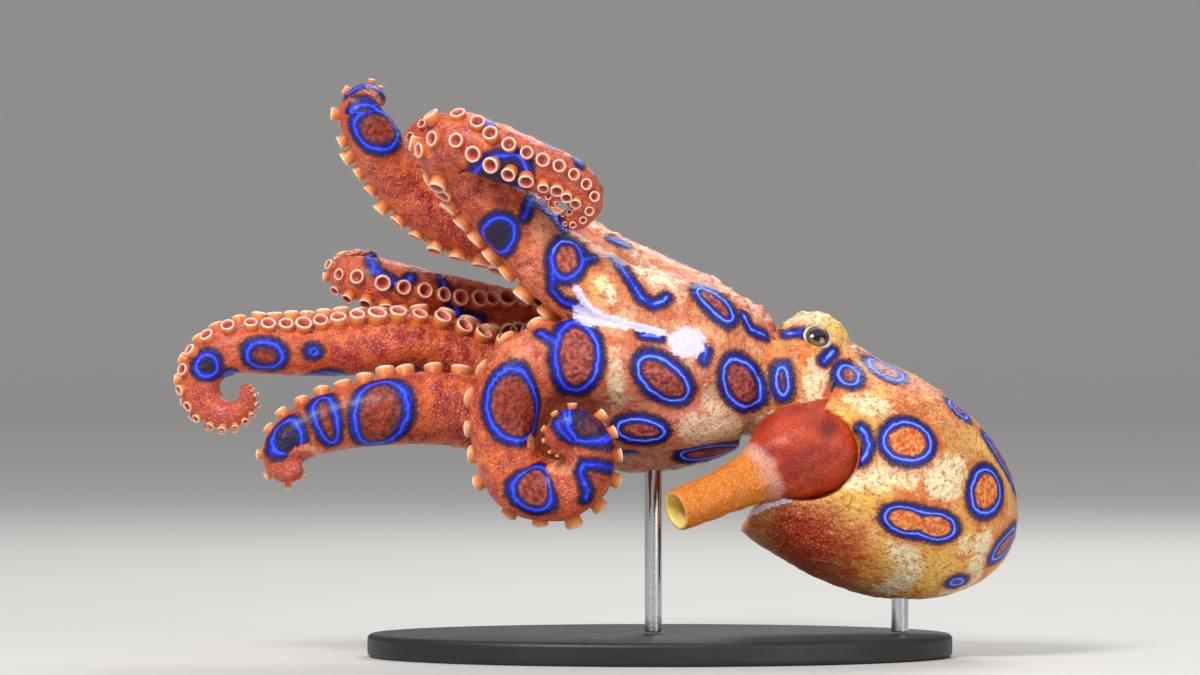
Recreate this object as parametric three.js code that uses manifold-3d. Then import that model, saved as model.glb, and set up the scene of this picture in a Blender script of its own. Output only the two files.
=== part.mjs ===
// Greater blue-ringed octopus, life size, swimming, held by two rods over an oval base.
// Millimetres, +Z up. The origin is the middle of the base's underside. The animal faces -X,
// and its left flank and belly are turned towards -Y.
import * as THREE from "three";
import { mergeVertices } from "three/addons/utils/BufferGeometryUtils.js";
import Module from "manifold-3d";

const wasm = await Module();
wasm.setup();

const vec = (x, y, z) => new THREE.Vector3(x, y, z);

// Driving dimensions
const GAP = 0.3; // between neighbouring pieces
const ANIMAL_AT = vec(-9, -3, 0); // puts the animal's balance point over the base
const BASE = { length: 88, depth: 60, thickness: 3.5, edge: 0.8 };
const ROD_RADIUS = 1.3;
const MANTLE = { front: vec(29.5, 0.5, 32.3), tip: vec(61.6, 2.5, 16.2), radius: 16.9, widest: 0.3 };
const HEAD_CENTRE = vec(30, 0, 40);
const EYE_RADIUS = 2.6;
const EYE_AT = vec(32.2, -4.6, 47.3); // the left eyeball's centre
const ARM_ROOT_RADIUS = 6.5;
const WEB_THICKNESS = 1.4;
const WEB_ARCH = 0.3; // how far the web's free edge dips between two arms

// The animal's own directions: the crown points forward and a little up, and the back is rolled
// away from the viewer's side, so that the left flank faces -Y and up.
const ROLL = THREE.MathUtils.degToRad(27);
const FORWARD = vec(-0.971, 0, 0.239).normalize();
const BACK = vec(0.239 * Math.cos(ROLL), Math.sin(ROLL), 0.971 * Math.cos(ROLL)).normalize();
const LEFT = vec(0, 0, 0).crossVectors(BACK, FORWARD).normalize();
const BODY_AXES = [BACK, FORWARD, LEFT];

// Geometry helpers

function solid(geometry, weld = 1e-4) {
  const bare = new THREE.BufferGeometry().setAttribute("position", geometry.getAttribute("position"));
  if (geometry.index) bare.setIndex(geometry.index);
  const merged = mergeVertices(bare, weld);
  const faces = [];
  const index = merged.index.array;
  for (let i = 0; i < index.length; i += 3) {
    const [a, b, c] = [index[i], index[i + 1], index[i + 2]];
    if (a !== b && b !== c && c !== a) faces.push(a, b, c);
  }
  return new wasm.Manifold(
    new wasm.Mesh({
      numProp: 3,
      vertProperties: new Float32Array(merged.getAttribute("position").array),
      triVerts: new Uint32Array(faces),
    }),
  );
}

function largest(manifold) {
  const pieces = manifold.decompose();
  return pieces.reduce((best, piece) => (piece.volume() > best.volume() ? piece : best));
}

const join = (pieces) => pieces.reduce((whole, piece) => whole.add(piece));
const without = (body, ...cutters) => cutters.reduce((rest, cutter) => rest.subtract(cutter), body);

function geometryOf(manifold) {
  const mesh = manifold.getMesh();
  const count = mesh.vertProperties.length / mesh.numProp;
  const points = new Float32Array(count * 3);
  for (let i = 0; i < count; i++) {
    points.set(mesh.vertProperties.subarray(i * mesh.numProp, i * mesh.numProp + 3), i * 3);
  }
  const geometry = new THREE.BufferGeometry();
  geometry.setAttribute("position", new THREE.BufferAttribute(points, 3));
  geometry.setIndex(new THREE.BufferAttribute(new Uint32Array(mesh.triVerts), 1));
  geometry.computeVertexNormals();
  return geometry;
}

// The largest closed surface of a cut or joined piece, with its slivers welded away.
const WELD = 2e-3;
const tidied = (manifold) => largest(solid(geometryOf(largest(manifold)), WELD));

// Moves every vertex of a geometry by a function from its own coordinates to a Vector3.
function reshape(geometry, place) {
  const position = geometry.getAttribute("position");
  for (let i = 0; i < position.count; i++) {
    const p = place(position.getX(i), position.getY(i), position.getZ(i));
    position.setXYZ(i, p.x, p.y, p.z);
  }
  return geometry;
}

function ellipsoid(centre, radii, axes, segments = 16) {
  const geometry = new THREE.SphereGeometry(1, segments, Math.round(segments * 0.6));
  const basis = new THREE.Matrix4().makeBasis(
    axes[0].clone().multiplyScalar(radii[0]),
    axes[1].clone().multiplyScalar(radii[1]),
    axes[2].clone().multiplyScalar(radii[2]),
  );
  return solid(geometry.applyMatrix4(basis.setPosition(centre)));
}

// A round body along a smooth line. Each station is x, y, z, radius, twist: the twist turns the
// side that carries the suckers, from outside the curl (0) to facing away from the viewer (90).
const VIEW_AXIS = vec(0, -1, 0);

class Limb {
  constructor(stations, flatness = 1) {
    this.curve = new THREE.CatmullRomCurve3(
      stations.map((s) => vec(s[0], s[1], s[2])),
      false,
      "centripetal",
    );
    this.curve.arcLengthDivisions = 40 * (stations.length - 1);
    const lengths = this.curve.getLengths();
    this.length = lengths[lengths.length - 1];
    this.at = stations.map((s, i) => lengths[i * 40]);
    this.stations = stations;
    this.flatness = flatness;
  }

  // A station's value at a distance along the limb.
  value(distance, column) {
    const last = this.at.length - 1;
    let i = 1;
    while (i < last && this.at[i] < distance) i++;
    const share = (distance - this.at[i - 1]) / (this.at[i] - this.at[i - 1]);
    const clamped = Math.min(1, Math.max(0, share));
    return THREE.MathUtils.lerp(this.stations[i - 1][column], this.stations[i][column], clamped);
  }

  frame(distance) {
    const u = Math.min(1, Math.max(0, distance / this.length));
    const centre = this.curve.getPointAt(u);
    const along = this.curve.getTangentAt(u);
    const outside = vec(0, 0, 0).crossVectors(along, VIEW_AXIS).normalize();
    const away = vec(0, 0, 0).crossVectors(outside, along).normalize();
    if (away.y < 0) away.negate();
    const twist = THREE.MathUtils.degToRad(this.value(distance, 4));
    const oral = outside.multiplyScalar(Math.cos(twist)).addScaledVector(away, Math.sin(twist)).normalize();
    const side = vec(0, 0, 0).crossVectors(along, oral).normalize();
    return { centre, along, oral, side, radius: this.value(distance, 3) };
  }

  // The surface point at an angle round the limb, measured from the sucker side.
  surface(frame, angle, grow = 0) {
    const reach = frame.radius + grow;
    return frame.centre
      .clone()
      .addScaledVector(frame.side, Math.sin(angle) * reach)
      .addScaledVector(frame.oral, Math.cos(angle) * reach * this.flatness);
  }

  // A closed stretch of the limb with flat ends.
  stretch(from, to, { sides = 10, step = 3, grow = 0 } = {}) {
    const rings = Math.max(1, Math.round((to - from) / step));
    const tube = new THREE.CylinderGeometry(1, 1, 1, sides, rings);
    return solid(
      reshape(tube, (x, y, z) => {
        const frame = this.frame(from + (y + 0.5) * (to - from));
        const reach = frame.radius + grow;
        return frame.centre
          .clone()
          .addScaledVector(frame.side, x * reach)
          .addScaledVector(frame.oral, z * reach * this.flatness);
      }),
    );
  }
}

// Suckers: two staggered rows of cups, smaller towards the tip
const SUCKER = {
  share: 0.235, // of the arm's radius there
  least: 0.68,
  pitch: 5.1, // sucker radii between neighbours of one row
  rowAngle: 0.5, // radians from the middle of the sucker side
  sides: 6,
  sunk: 0.9, // of its radius
  clear: 0.35, // kept from the ends of a piece
  start: 17, // distance along the arm; nearer the mouth they are hidden between the roots
};

function suckerCup(radius) {
  const profile = [
    [0, -SUCKER.sunk],
    [0.62, -SUCKER.sunk],
    [1.0, 0.75],
    [0.55, 0.8],
    [0, 0.3],
  ];
  const points = profile.map(([r, h]) => new THREE.Vector2(r * radius, h * radius));
  return new THREE.LatheGeometry(points, SUCKER.sides);
}

// Whether another arm, or a further turn of the same one, lies too near a point for a sucker.
function crowded(limb, distance, point, reach) {
  return Object.values(arms).some((other) => {
    for (let d = 0; d < other.limb.length; d += 2) {
      if (other.limb === limb && Math.abs(d - distance) < 12) continue;
      if (other.limb.frame(d).centre.distanceTo(point) < other.limb.value(d, 3) + reach) return true;
    }
    return false;
  });
}

function suckersOn(limb, from, to) {
  const cups = [];
  let distance = SUCKER.share * ARM_ROOT_RADIUS;
  let row = 1;
  while (distance < limb.length) {
    const frame = limb.frame(distance);
    const radius = Math.max(SUCKER.least, SUCKER.share * frame.radius);
    if (distance - radius > from + SUCKER.clear && distance + radius < to - SUCKER.clear) {
      const root = limb.surface(frame, row * SUCKER.rowAngle);
      const out = root.clone().sub(frame.centre).normalize();
      const turn = new THREE.Quaternion().setFromUnitVectors(vec(0, 1, 0), out);
      const place = new THREE.Matrix4().compose(root, turn, vec(1, 1, 1));
      const cup = solid(suckerCup(radius).applyMatrix4(place));
      if (!crowded(limb, distance, root, 2 * radius + GAP)) cups.push(cup);
    }
    distance += (SUCKER.pitch * radius) / 2;
    row = -row;
  }
  return cups;
}

// Arms, in their order round the crown: stations run from inside the crown to the tip. cuts are the
// distances where the arm is parted; the first is where the free arm leaves the crown's web.
const ARMS = {
  left_1: {
    cuts: [26, 44, 58],
    stations: [
      [21.7, 0.4, 46.0, 6.3, 175],
      [15.6, 0.7, 51.0, 6.3, 175],
      [8.5, 1.4, 54.7, 6.2, 175],
      [1.5, 2.0, 57.9, 6.0, 172],
      [-6, 5.0, 61.8, 5.6, 170],
      [-13.5, 6.3, 64.0, 5.2, 168],
      [-20.6, 6.3, 65.4, 4.9, 166],
      [-26.2, 5.0, 68.4, 4.7, 164],
      [-30.7, 3.0, 72.8, 4.6, 160],
      [-34.0, 1.0, 77.8, 4.3, 158],
      [-35.8, 0, 81.6, 3.7, 156],
      [-35.0, 1.6, 84.0, 2.6, 160],
      [-32.9, 4.0, 83.8, 1.0, 165],
    ],
  },
  left_2: {
    cuts: [27, 45, 62, 75],
    stations: [
      [21.4, -3.2, 45.6, 6.5, 139],
      [15.1, -5.8, 50.0, 6.5, 139],
      [8.5, -7.6, 51.2, 6.5, 140],
      [2.2, -8.5, 53.4, 6.4, 140],
      [-4.5, -8.5, 57.4, 6.2, 140],
      [-10.5, -8.5, 63.0, 5.7, 142],
      [-15.5, -9.0, 68.2, 5.3, 148],
      [-19.5, -9.5, 72.6, 4.9, 160],
      [-22.6, -12, 75.6, 4.6, 200],
      [-20.6, -16.2, 77.0, 4.4, 240],
      [-15.4, -18.8, 75.2, 4.1, 270],
      [-9.8, -19.4, 73.2, 3.8, 280],
      [-4.6, -18.8, 71.2, 3.4, 282],
      [-2.0, -17.8, 68.4, 2.8, 278],
      [-3.6, -17.2, 65.6, 2.0, 272],
      [-6.2, -17.0, 65.4, 0.9, 268],
    ],
  },
  left_3: {
    cuts: [26, 41, 55, 67],
    stations: [
      [20.6, -5, 42.3, 6.5, 95],
      [13.7, -8.6, 44.1, 6.5, 92],
      [6, -10.8, 43.6, 6.3, 85],
      [0, -12.4, 44.3, 6.0, 74],
      [-6, -13.5, 44.9, 5.7, 64],
      [-11.3, -14, 42.8, 5.5, 56],
      [-13.8, -14, 37.9, 5.4, 52],
      [-13.8, -14, 31.9, 5.1, 50],
      [-11.8, -14, 26.9, 4.9, 48],
      [-6.2, -14.8, 25.4, 4.6, 46],
      [-2.2, -16.8, 27.8, 4.2, 44],
      [-1.5, -19, 32.0, 3.7, 40],
      [-3.6, -20.4, 35.0, 2.9, 36],
      [-6.2, -20.6, 34.2, 2.1, 34],
      [-6.6, -20, 32.2, 1.2, 32],
      [-5.0, -19.6, 31.4, 0.7, 32],
    ],
  },
  left_4: {
    cuts: [28, 44, 58],
    stations: [
      [19.7, -3.8, 38.8, 6.5, 52],
      [12.1, -6.6, 37.7, 6.5, 52],
      [5.0, -7.0, 36.6, 6.3, 52],
      [-1.5, -4.2, 35.4, 6.1, 50],
      [-9, -1.0, 34.6, 5.9, 50],
      [-18, 1.5, 36.4, 5.7, 48],
      [-25.5, 1, 37.4, 5.6, 46],
      [-30.8, 0, 37.0, 5.4, 46],
      [-36.3, 0, 36.2, 5.0, 46],
      [-41.3, 0, 35.0, 4.5, 46],
      [-45.5, -0.6, 33.0, 3.9, 44],
      [-48.0, -1.2, 30.2, 2.9, 42],
      [-46.8, -1.8, 27.8, 2.0, 40],
      [-44.6, -2.2, 28.8, 1.0, 38],
    ],
  },
  right_4: {
    cuts: [27, 44, 60, 75, 86],
    stations: [
      [19.3, -0.4, 37.1, 6.5, 6],
      [11.4, -0.2, 34.3, 6.5, 6],
      [3.2, 3.6, 33.6, 6.2, 4],
      [-4.5, 10.2, 36.3, 5.9, 0],
      [-12, 13.5, 39.5, 5.6, 0],
      [-19.5, 12.5, 43.9, 5.3, -4],
      [-26.3, 10.5, 46.6, 5.1, -8],
      [-32.3, 8, 47.0, 4.9, -10],
      [-39, 6, 46.6, 4.7, -12],
      [-45, 4.5, 46.3, 4.4, -14],
      [-50.7, 3.5, 46.4, 4.2, -14],
      [-55.4, 3, 46.2, 3.9, -12],
      [-59.0, 3, 44.0, 3.5, -10],
      [-60.2, 2.8, 40.4, 3.1, -8],
      [-58.4, 2.0, 37.2, 2.6, -8],
      [-55.2, 0.8, 36.4, 2.1, -8],
      [-52.8, -0.6, 38.3, 1.6, -8],
      [-53.4, -1.8, 40.7, 0.9, -8],
    ],
  },
  right_3: {
    cuts: [32, 47, 61],
    stations: [
      [19.6, 3.2, 38.2, 6.5, -41],
      [11.9, 6.4, 37.4, 6.4, -44],
      [4.5, 12.5, 41.0, 6.1, -50],
      [-3.8, 19.6, 45.6, 5.7, -58],
      [-12, 23.2, 49.6, 5.3, -70],
      [-18.8, 22, 51.4, 5.0, -84],
      [-24.3, 19.4, 53.2, 4.7, -98],
      [-30, 17, 55.1, 4.3, -108],
      [-35.1, 16.5, 56.6, 3.8, -114],
      [-38.3, 18.8, 57.3, 3.2, -116],
      [-38.8, 22.3, 58.2, 2.5, -116],
      [-36.6, 24.4, 59.6, 1.8, -116],
      [-34.4, 23.8, 60.8, 0.9, -116],
    ],
  },
  right_2: {
    cuts: [33, 45, 56],
    stations: [
      [20.4, 5, 41.5, 6.5, -86],
      [13.3, 9, 42.9, 6.4, -86],
      [5.5, 18.5, 48.0, 6.0, -88],
      [0, 27.2, 54.8, 5.6, -90],
      [-4.4, 31.4, 59.2, 5.1, -92],
      [-9.4, 33.4, 62.4, 4.6, -94],
      [-13.8, 34.2, 65.4, 4.1, -96],
      [-16.4, 34.8, 70.0, 3.6, -100],
      [-13.6, 35.8, 73.8, 3.0, -104],
      [-9.4, 36.5, 73.2, 2.3, -106],
      [-7.8, 36.7, 69.8, 1.7, -108],
      [-9.4, 36.4, 67.6, 0.9, -110],
    ],
  },
  right_1: {
    cuts: [26, 43, 57],
    stations: [
      [21.3, 3.8, 45.1, 6.5, -130],
      [14.9, 6.8, 48.7, 6.4, -130],
      [6, 10.8, 53.8, 6.1, -128],
      [-1, 15.2, 58.4, 5.8, -124],
      [-8, 18.4, 62.3, 5.4, -120],
      [-15, 20.2, 65.6, 5.0, -114],
      [-21.4, 19.2, 69.2, 4.5, -108],
      [-25.8, 16.6, 73.4, 3.9, -102],
      [-27.4, 13.6, 77.0, 3.2, -98],
      [-25.2, 12.4, 79.6, 2.5, -94],
      [-22.2, 13.4, 79.4, 1.8, -92],
      [-20.8, 15.2, 77.6, 0.9, -90],
    ],
  },
};

const ARM_FLATNESS = 0.94;
const LENGTH_NAMES = ["upper", "middle", "lower", "end"];
const arms = Object.fromEntries(
  Object.entries(ARMS).map(([name, arm]) => [name, { ...arm, limb: new Limb(arm.stations, ARM_FLATNESS) }]),
);

function armNodes() {
  const nodes = {};
  for (const [name, { limb, cuts }] of Object.entries(arms)) {
    cuts.forEach((cut, i) => {
      const from = cut + GAP;
      const to = i + 1 < cuts.length ? cuts[i + 1] : limb.length;
      const flesh = limb.stretch(from, to, { sides: 9, step: 3.2 });
      const label = i + 1 < cuts.length ? LENGTH_NAMES[i] : "tip";
      nodes[`arm_${name}_${label}`] = join([flesh, ...suckersOn(limb, from, to)]);
    });
  }
  return nodes;
}

// The crown: the arms' roots round a core, joined by the web

const CORE = new Limb([
  [24.2, 0, 42.1, 8.9, 0],
  [19.5, 0, 43.3, 10.3, 0],
  [13, 0, 44.6, 11.4, 0],
  [5, 0, 46.4, 11.2, 0],
  [0.5, 1, 47.4, 8.6, 0],
  [-1.8, 1, 47.8, 5.0, 0],
]);
const RODS = { mantle: { x: 36, y: -2.5, top: 14 }, crown: { x: -1, y: -2.5, top: 32 } };
const WEB_START = 8; // distance along the arms where the web begins, inside the roots
const WEB_SHORT = 1.2; // the web stops this far before the roots' ends
const WEB_OUT = 0.7; // share of the arm's radius by which the web lies outside the arms' middles

// The web between two neighbouring arms: a thin curved sheet with an arched free edge.
function web(first, second) {
  const rim = ({ limb }, distance) => {
    const frame = limb.frame(distance);
    return frame.centre.addScaledVector(frame.oral, -WEB_OUT * frame.radius);
  };
  const point = (across, along) => {
    const arch = 1 - WEB_ARCH * 4 * across * (1 - across);
    const a = rim(first, WEB_START + along * ((first.cuts[0] - WEB_SHORT) * arch - WEB_START));
    const b = rim(second, WEB_START + along * ((second.cuts[0] - WEB_SHORT) * arch - WEB_START));
    return a.lerp(b, across);
  };
  const small = 0.01;
  const sheet = new THREE.BoxGeometry(1, 1, 1, 5, 5, 1);
  return solid(
    reshape(sheet, (x, y, z) => {
      const [across, along] = [x + 0.5, y + 0.5];
      const [left, right] = [Math.max(0, across - small), Math.min(1, across + small)];
      const [inner, outer] = [Math.max(0, along - small), Math.min(1, along + small)];
      const acrossStep = point(right, along).sub(point(left, along));
      const alongStep = point(across, outer).sub(point(across, inner));
      const normal = acrossStep.cross(alongStep).normalize();
      return point(across, along).addScaledVector(normal, z * WEB_THICKNESS);
    }),
  );
}

function crown() {
  const core = CORE.stretch(0, CORE.length, { sides: 14, step: 4 });
  const roundTheCrown = Object.values(arms);
  const roots = roundTheCrown.map(({ limb, cuts }) => limb.stretch(0, cuts[0], { sides: 10, step: 4 }));
  const webs = roundTheCrown.map((arm, i) => web(arm, roundTheCrown[(i + 1) % roundTheCrown.length]));
  const suckers = roundTheCrown.flatMap(({ limb, cuts }) => suckersOn(limb, SUCKER.start, cuts[0]));
  return join([core, ...roots, ...webs, ...suckers]);
}

// The head, its two eye bumps, and the eyes

const HEAD = new Limb([
  [40, 1, 34.4, 9.4, 0],
  [34, 0.5, 38.0, 10.0, 0],
  [29, 0, 40.6, 9.9, 0],
  [24.5, 0, 42.1, 9.0, 0],
]);
const EYE_BUMP = { in: 2.4, up: 0.9, radii: [4.8, 5.4, 4.6] }; // towards the back, forwards, sideways
const LID = { tube: 0.85, ring: 2.75, out: 0.9 };

// The same place on the other side of the animal.
function mirrored(point) {
  const off = point.clone().sub(HEAD_CENTRE).dot(LEFT);
  return point.clone().addScaledVector(LEFT, -2 * off);
}

function eyeSide(centre, out) {
  const bumpAt = centre.clone().addScaledVector(out, -EYE_BUMP.in).addScaledVector(BACK, EYE_BUMP.up);
  const grownRadii = (grow) => EYE_BUMP.radii.map((radius) => radius + grow);
  const bump = (grow) => ellipsoid(bumpAt, grownRadii(grow), BODY_AXES, 14);
  const turn = new THREE.Quaternion().setFromUnitVectors(vec(0, 0, 1), out);
  const lidAt = centre.clone().addScaledVector(out, LID.out);
  const lidPlace = new THREE.Matrix4().compose(lidAt, turn, vec(1, 1, 1));
  const lid = (grow) => {
    const ring = new THREE.TorusGeometry(LID.ring, LID.tube + grow, 6, 16);
    return solid(ring.applyMatrix4(lidPlace));
  };
  const ball = (grow) => ellipsoid(centre, Array(3).fill(EYE_RADIUS + grow), BODY_AXES, 14);
  const opening = new THREE.CylinderGeometry(EYE_RADIUS, EYE_RADIUS, 3 * EYE_RADIUS, 14);
  const openingAt = centre.clone().addScaledVector(out, 1.5 * EYE_RADIUS);
  const outwards = new THREE.Quaternion().setFromUnitVectors(vec(0, 1, 0), out);
  opening.applyMatrix4(new THREE.Matrix4().compose(openingAt, outwards, vec(1, 1, 1)));
  return { bump, lid, hollow: ball(GAP).add(solid(opening)), eye: ball(0) };
}

const EYES = {
  left: eyeSide(EYE_AT, LEFT),
  right: eyeSide(mirrored(EYE_AT), LEFT.clone().negate()),
};

function head(grow = 0) {
  const neck = HEAD.stretch(0, HEAD.length, { sides: 16, step: 3, grow });
  const flesh = join([neck, EYES.left.bump(grow), EYES.right.bump(grow)]);
  if (grow) return join([flesh, EYES.left.lid(grow), EYES.right.lid(grow)]);
  const sockets = EYES.left.hollow.add(EYES.right.hollow);
  return join([flesh, EYES.left.lid(0), EYES.right.lid(0)]).subtract(sockets);
}

// The funnel: a wide collar inside the mantle's edge that narrows to an open tube

const FUNNEL = new Limb([
  [36.4, -6.0, 31.6, 6.6, 0],
  [33.2, -8.0, 31.6, 7.3, 0],
  [29.4, -9.8, 30.8, 7.2, 0],
  [26.4, -11.4, 29.4, 6.3, 0],
  [24.6, -12.4, 28.4, 4.7, 0],
  [22.4, -13.7, 27.2, 3.6, 0],
  [18.0, -16.2, 25.2, 3.35, 0],
  [14.0, -18.5, 23.6, 3.25, 0],
  [11.4, -20, 22.7, 3.1, 0],
]);
const FUNNEL_WALL = 0.75;
const FUNNEL_BORE = 11; // depth of the open tube

function funnel() {
  const outer = FUNNEL.stretch(0, FUNNEL.length, { sides: 16, step: 3 });
  const bore = FUNNEL.stretch(FUNNEL.length - FUNNEL_BORE, FUNNEL.length + 1, {
    sides: 14,
    step: 2.5,
    grow: -FUNNEL_WALL,
  });
  const end = FUNNEL.frame(FUNNEL.length);
  const inside = end.radius - FUNNEL_WALL;
  const mouth = new THREE.CylinderGeometry(inside, inside, 2, 14);
  const turn = new THREE.Quaternion().setFromUnitVectors(vec(0, 1, 0), end.along);
  mouth.applyMatrix4(new THREE.Matrix4().compose(end.centre, turn, vec(1, 1, 1)));
  return without(outer, bore, solid(mouth));
}

// The mantle: an egg-shaped sac, notched on its near side where the funnel's collar shows

const MANTLE_EDGE = { hollow: 2.5, lip: 1.4, radius: 0.92 }; // its radius is a share of the widest
const MANTLE_RINGS = 10;
const VENTRAL_LIP = { reach: 2.6, depth: 9 }; // the belly's edge reaches forward under the funnel
const COLLAR_NOTCH = { centre: vec(29.4, -15, 31.6), radii: [9.2, 9.5, 7.0] };

// The sac's profile behind its front edge, as radius and distance from the front.
function mantleProfile(length) {
  const { radius, widest } = MANTLE;
  const edge = MANTLE_EDGE.radius * radius;
  const profile = [
    [0, MANTLE_EDGE.hollow],
    [0.72 * radius, MANTLE_EDGE.hollow],
    [edge - MANTLE_EDGE.lip, 0.3],
    [edge, 0.4],
  ];
  const first = -Math.acos(widest);
  for (let i = 1; i < MANTLE_RINGS; i++) {
    const angle = THREE.MathUtils.lerp(first, Math.PI / 2, i / MANTLE_RINGS);
    const front = angle < 0;
    const along = widest + Math.sin(angle) * (front ? widest : 1 - widest);
    const across = front ? 1 - (1 - MANTLE_EDGE.radius) * Math.sin(angle) ** 2 : Math.cos(angle);
    profile.push([across * radius, Math.max(1.2, along * length)]);
  }
  return [...profile, [0, length]].map(([r, h]) => new THREE.Vector2(r, h));
}

function mantle() {
  const axis = MANTLE.tip.clone().sub(MANTLE.front);
  const length = axis.length();
  axis.normalize();
  const turn = new THREE.Quaternion().setFromUnitVectors(vec(0, 1, 0), axis);
  const sac = new THREE.LatheGeometry(mantleProfile(length), 24);
  sac.applyMatrix4(new THREE.Matrix4().compose(MANTLE.front, turn, vec(1, 1, 1)));
  return solid(
    reshape(sac, (x, y, z) => {
      const p = vec(x, y, z);
      const offset = p.clone().sub(MANTLE.front);
      const near = THREE.MathUtils.clamp(1 - offset.dot(axis) / VENTRAL_LIP.depth, 0, 1);
      const ventral = THREE.MathUtils.clamp(-offset.dot(BACK) / MANTLE.radius, 0, 1);
      return p.addScaledVector(axis, -VENTRAL_LIP.reach * near * ventral);
    }),
  );
}

// The stand

// A rod from just over the base to its top inside the body, or the socket that clears it.
function rod({ x, y, top }, clearance = 0) {
  const bottom = BASE.thickness + GAP - clearance;
  const height = top + clearance - bottom;
  const bar = new THREE.CylinderGeometry(ROD_RADIUS + clearance, ROD_RADIUS + clearance, height, 14);
  bar.rotateX(Math.PI / 2).translate(x, y, bottom + height / 2);
  return solid(bar);
}

const socket = (at) => rod(at, GAP).translate(ANIMAL_AT.clone().negate().toArray());

function base() {
  const outline = [
    new THREE.Vector2(0, 0),
    new THREE.Vector2(1 - BASE.edge / BASE.length, 0),
    new THREE.Vector2(1, BASE.edge / BASE.thickness),
    new THREE.Vector2(1, 1 - BASE.edge / BASE.thickness),
    new THREE.Vector2(1 - (2 * BASE.edge) / BASE.length, 1),
    new THREE.Vector2(0, 1),
  ];
  const plate = new THREE.LatheGeometry(outline, 48);
  plate.rotateX(Math.PI / 2).scale(BASE.length / 2, BASE.depth / 2, BASE.thickness);
  return solid(plate);
}

// Fitting: each piece keeps a thin gap to the piece it grows from

const notch = ellipsoid(COLLAR_NOTCH.centre, COLLAR_NOTCH.radii, [FORWARD, LEFT, BACK], 18);
const grownHead = head(GAP);
const grownFunnel = FUNNEL.stretch(0, FUNNEL.length, { sides: 16, step: 3, grow: GAP });
const grownArms = Object.values(arms).map(({ limb, cuts }) =>
  limb.stretch(cuts[0], cuts[1], { sides: 9, step: 3.2, grow: GAP }),
);

const solids = {
  mantle: without(mantle(), grownHead, notch, grownFunnel, socket(RODS.mantle)),
  head: head(),
  eye_left: EYES.left.eye,
  eye_right: EYES.right.eye,
  funnel: without(funnel(), grownHead),
  arm_crown: without(crown(), grownHead, grownFunnel, socket(RODS.crown), ...grownArms),
  ...armNodes(),
};

// Colours and export

const SKIN = { mantle: 0xe8a050, head: 0xe2b070, funnel: 0xd9851c, arm_crown: 0xd9713c };
const group = new THREE.Group();
const animal = new THREE.Group();
animal.position.copy(ANIMAL_AT);
group.add(animal);

for (const [name, manifold] of Object.entries(solids)) {
  const eye = name.startsWith("eye");
  const material = new THREE.MeshStandardMaterial({
    color: eye ? 0x241a10 : (SKIN[name] ?? 0xc65a32),
    roughness: eye ? 0.1 : 0.45,
    metalness: 0,
  });
  const mesh = new THREE.Mesh(geometryOf(tidied(manifold)), material);
  mesh.name = name;
  animal.add(mesh);
}

const steel = new THREE.MeshStandardMaterial({ color: 0xb8babd, roughness: 0.3, metalness: 1 });
const black = new THREE.MeshStandardMaterial({ color: 0x1b1b1d, roughness: 0.5, metalness: 0 });
const standParts = {
  stand_base: { manifold: base(), material: black },
  stand_rod_mantle: { manifold: rod(RODS.mantle), material: steel },
  stand_rod_crown: { manifold: rod(RODS.crown), material: steel },
};
for (const [name, { manifold, material }] of Object.entries(standParts)) {
  const mesh = new THREE.Mesh(geometryOf(tidied(manifold)), material);
  mesh.name = name;
  group.add(mesh);
}

export default group;
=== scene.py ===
import math

import bmesh
import bpy
import numpy as np
from mathutils import Matrix, Vector, noise
from mathutils.bvhtree import BVHTree


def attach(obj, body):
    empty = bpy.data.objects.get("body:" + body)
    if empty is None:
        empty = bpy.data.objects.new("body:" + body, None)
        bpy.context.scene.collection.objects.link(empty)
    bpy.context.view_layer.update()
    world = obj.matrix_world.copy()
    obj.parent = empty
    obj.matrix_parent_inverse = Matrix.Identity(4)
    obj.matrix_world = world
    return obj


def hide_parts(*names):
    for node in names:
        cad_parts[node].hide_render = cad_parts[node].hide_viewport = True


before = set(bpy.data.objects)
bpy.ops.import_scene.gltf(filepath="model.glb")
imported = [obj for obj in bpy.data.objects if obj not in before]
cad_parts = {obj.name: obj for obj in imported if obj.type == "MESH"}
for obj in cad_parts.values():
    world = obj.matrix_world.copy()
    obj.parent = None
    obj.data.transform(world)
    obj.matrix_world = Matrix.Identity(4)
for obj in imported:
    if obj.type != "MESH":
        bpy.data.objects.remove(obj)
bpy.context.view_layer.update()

# Driving dimensions, in millimetres
MM = 0.001
ANIMAL_AT = np.array([-9.0, -3.0, 0.0])  # the animal's frame in the part's
VOXEL = 0.36  # of the skin
BASE = {"length": 88, "depth": 60, "thickness": 3.5, "edge": 0.8}
ROD_RADIUS = 1.3
ROD_GAP = 0.3
RODS = {"mantle": {"x": 36, "y": -2.5, "top": 14}, "crown": {"x": -1, "y": -2.5, "top": 32}}
MANTLE = {"front": (29.5, 0.5, 32.3), "tip": (61.6, 2.5, 16.2), "radius": 16.9, "widest": 0.3}
MANTLE_EDGE = {"hollow": 2.5, "lip": 1.4, "radius": 0.92, "floor": 0.72}  # radius and floor are shares
VENTRAL_LIP = {"reach": 2.6, "depth": 9}  # the belly's edge reaches forward under the funnel
COLLAR_NOTCH = {"centre": (29.4, -15, 31.6), "radii": (9.2, 9.5, 7.0)}
HEAD_CENTRE = np.array([30.0, 0, 40])
EYE_RADIUS = 2.6
EYE_AT = np.array([32.2, -4.6, 47.3])
ARM_ROOT_RADIUS = 6.5
ARM_FLATNESS = 0.94

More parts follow.
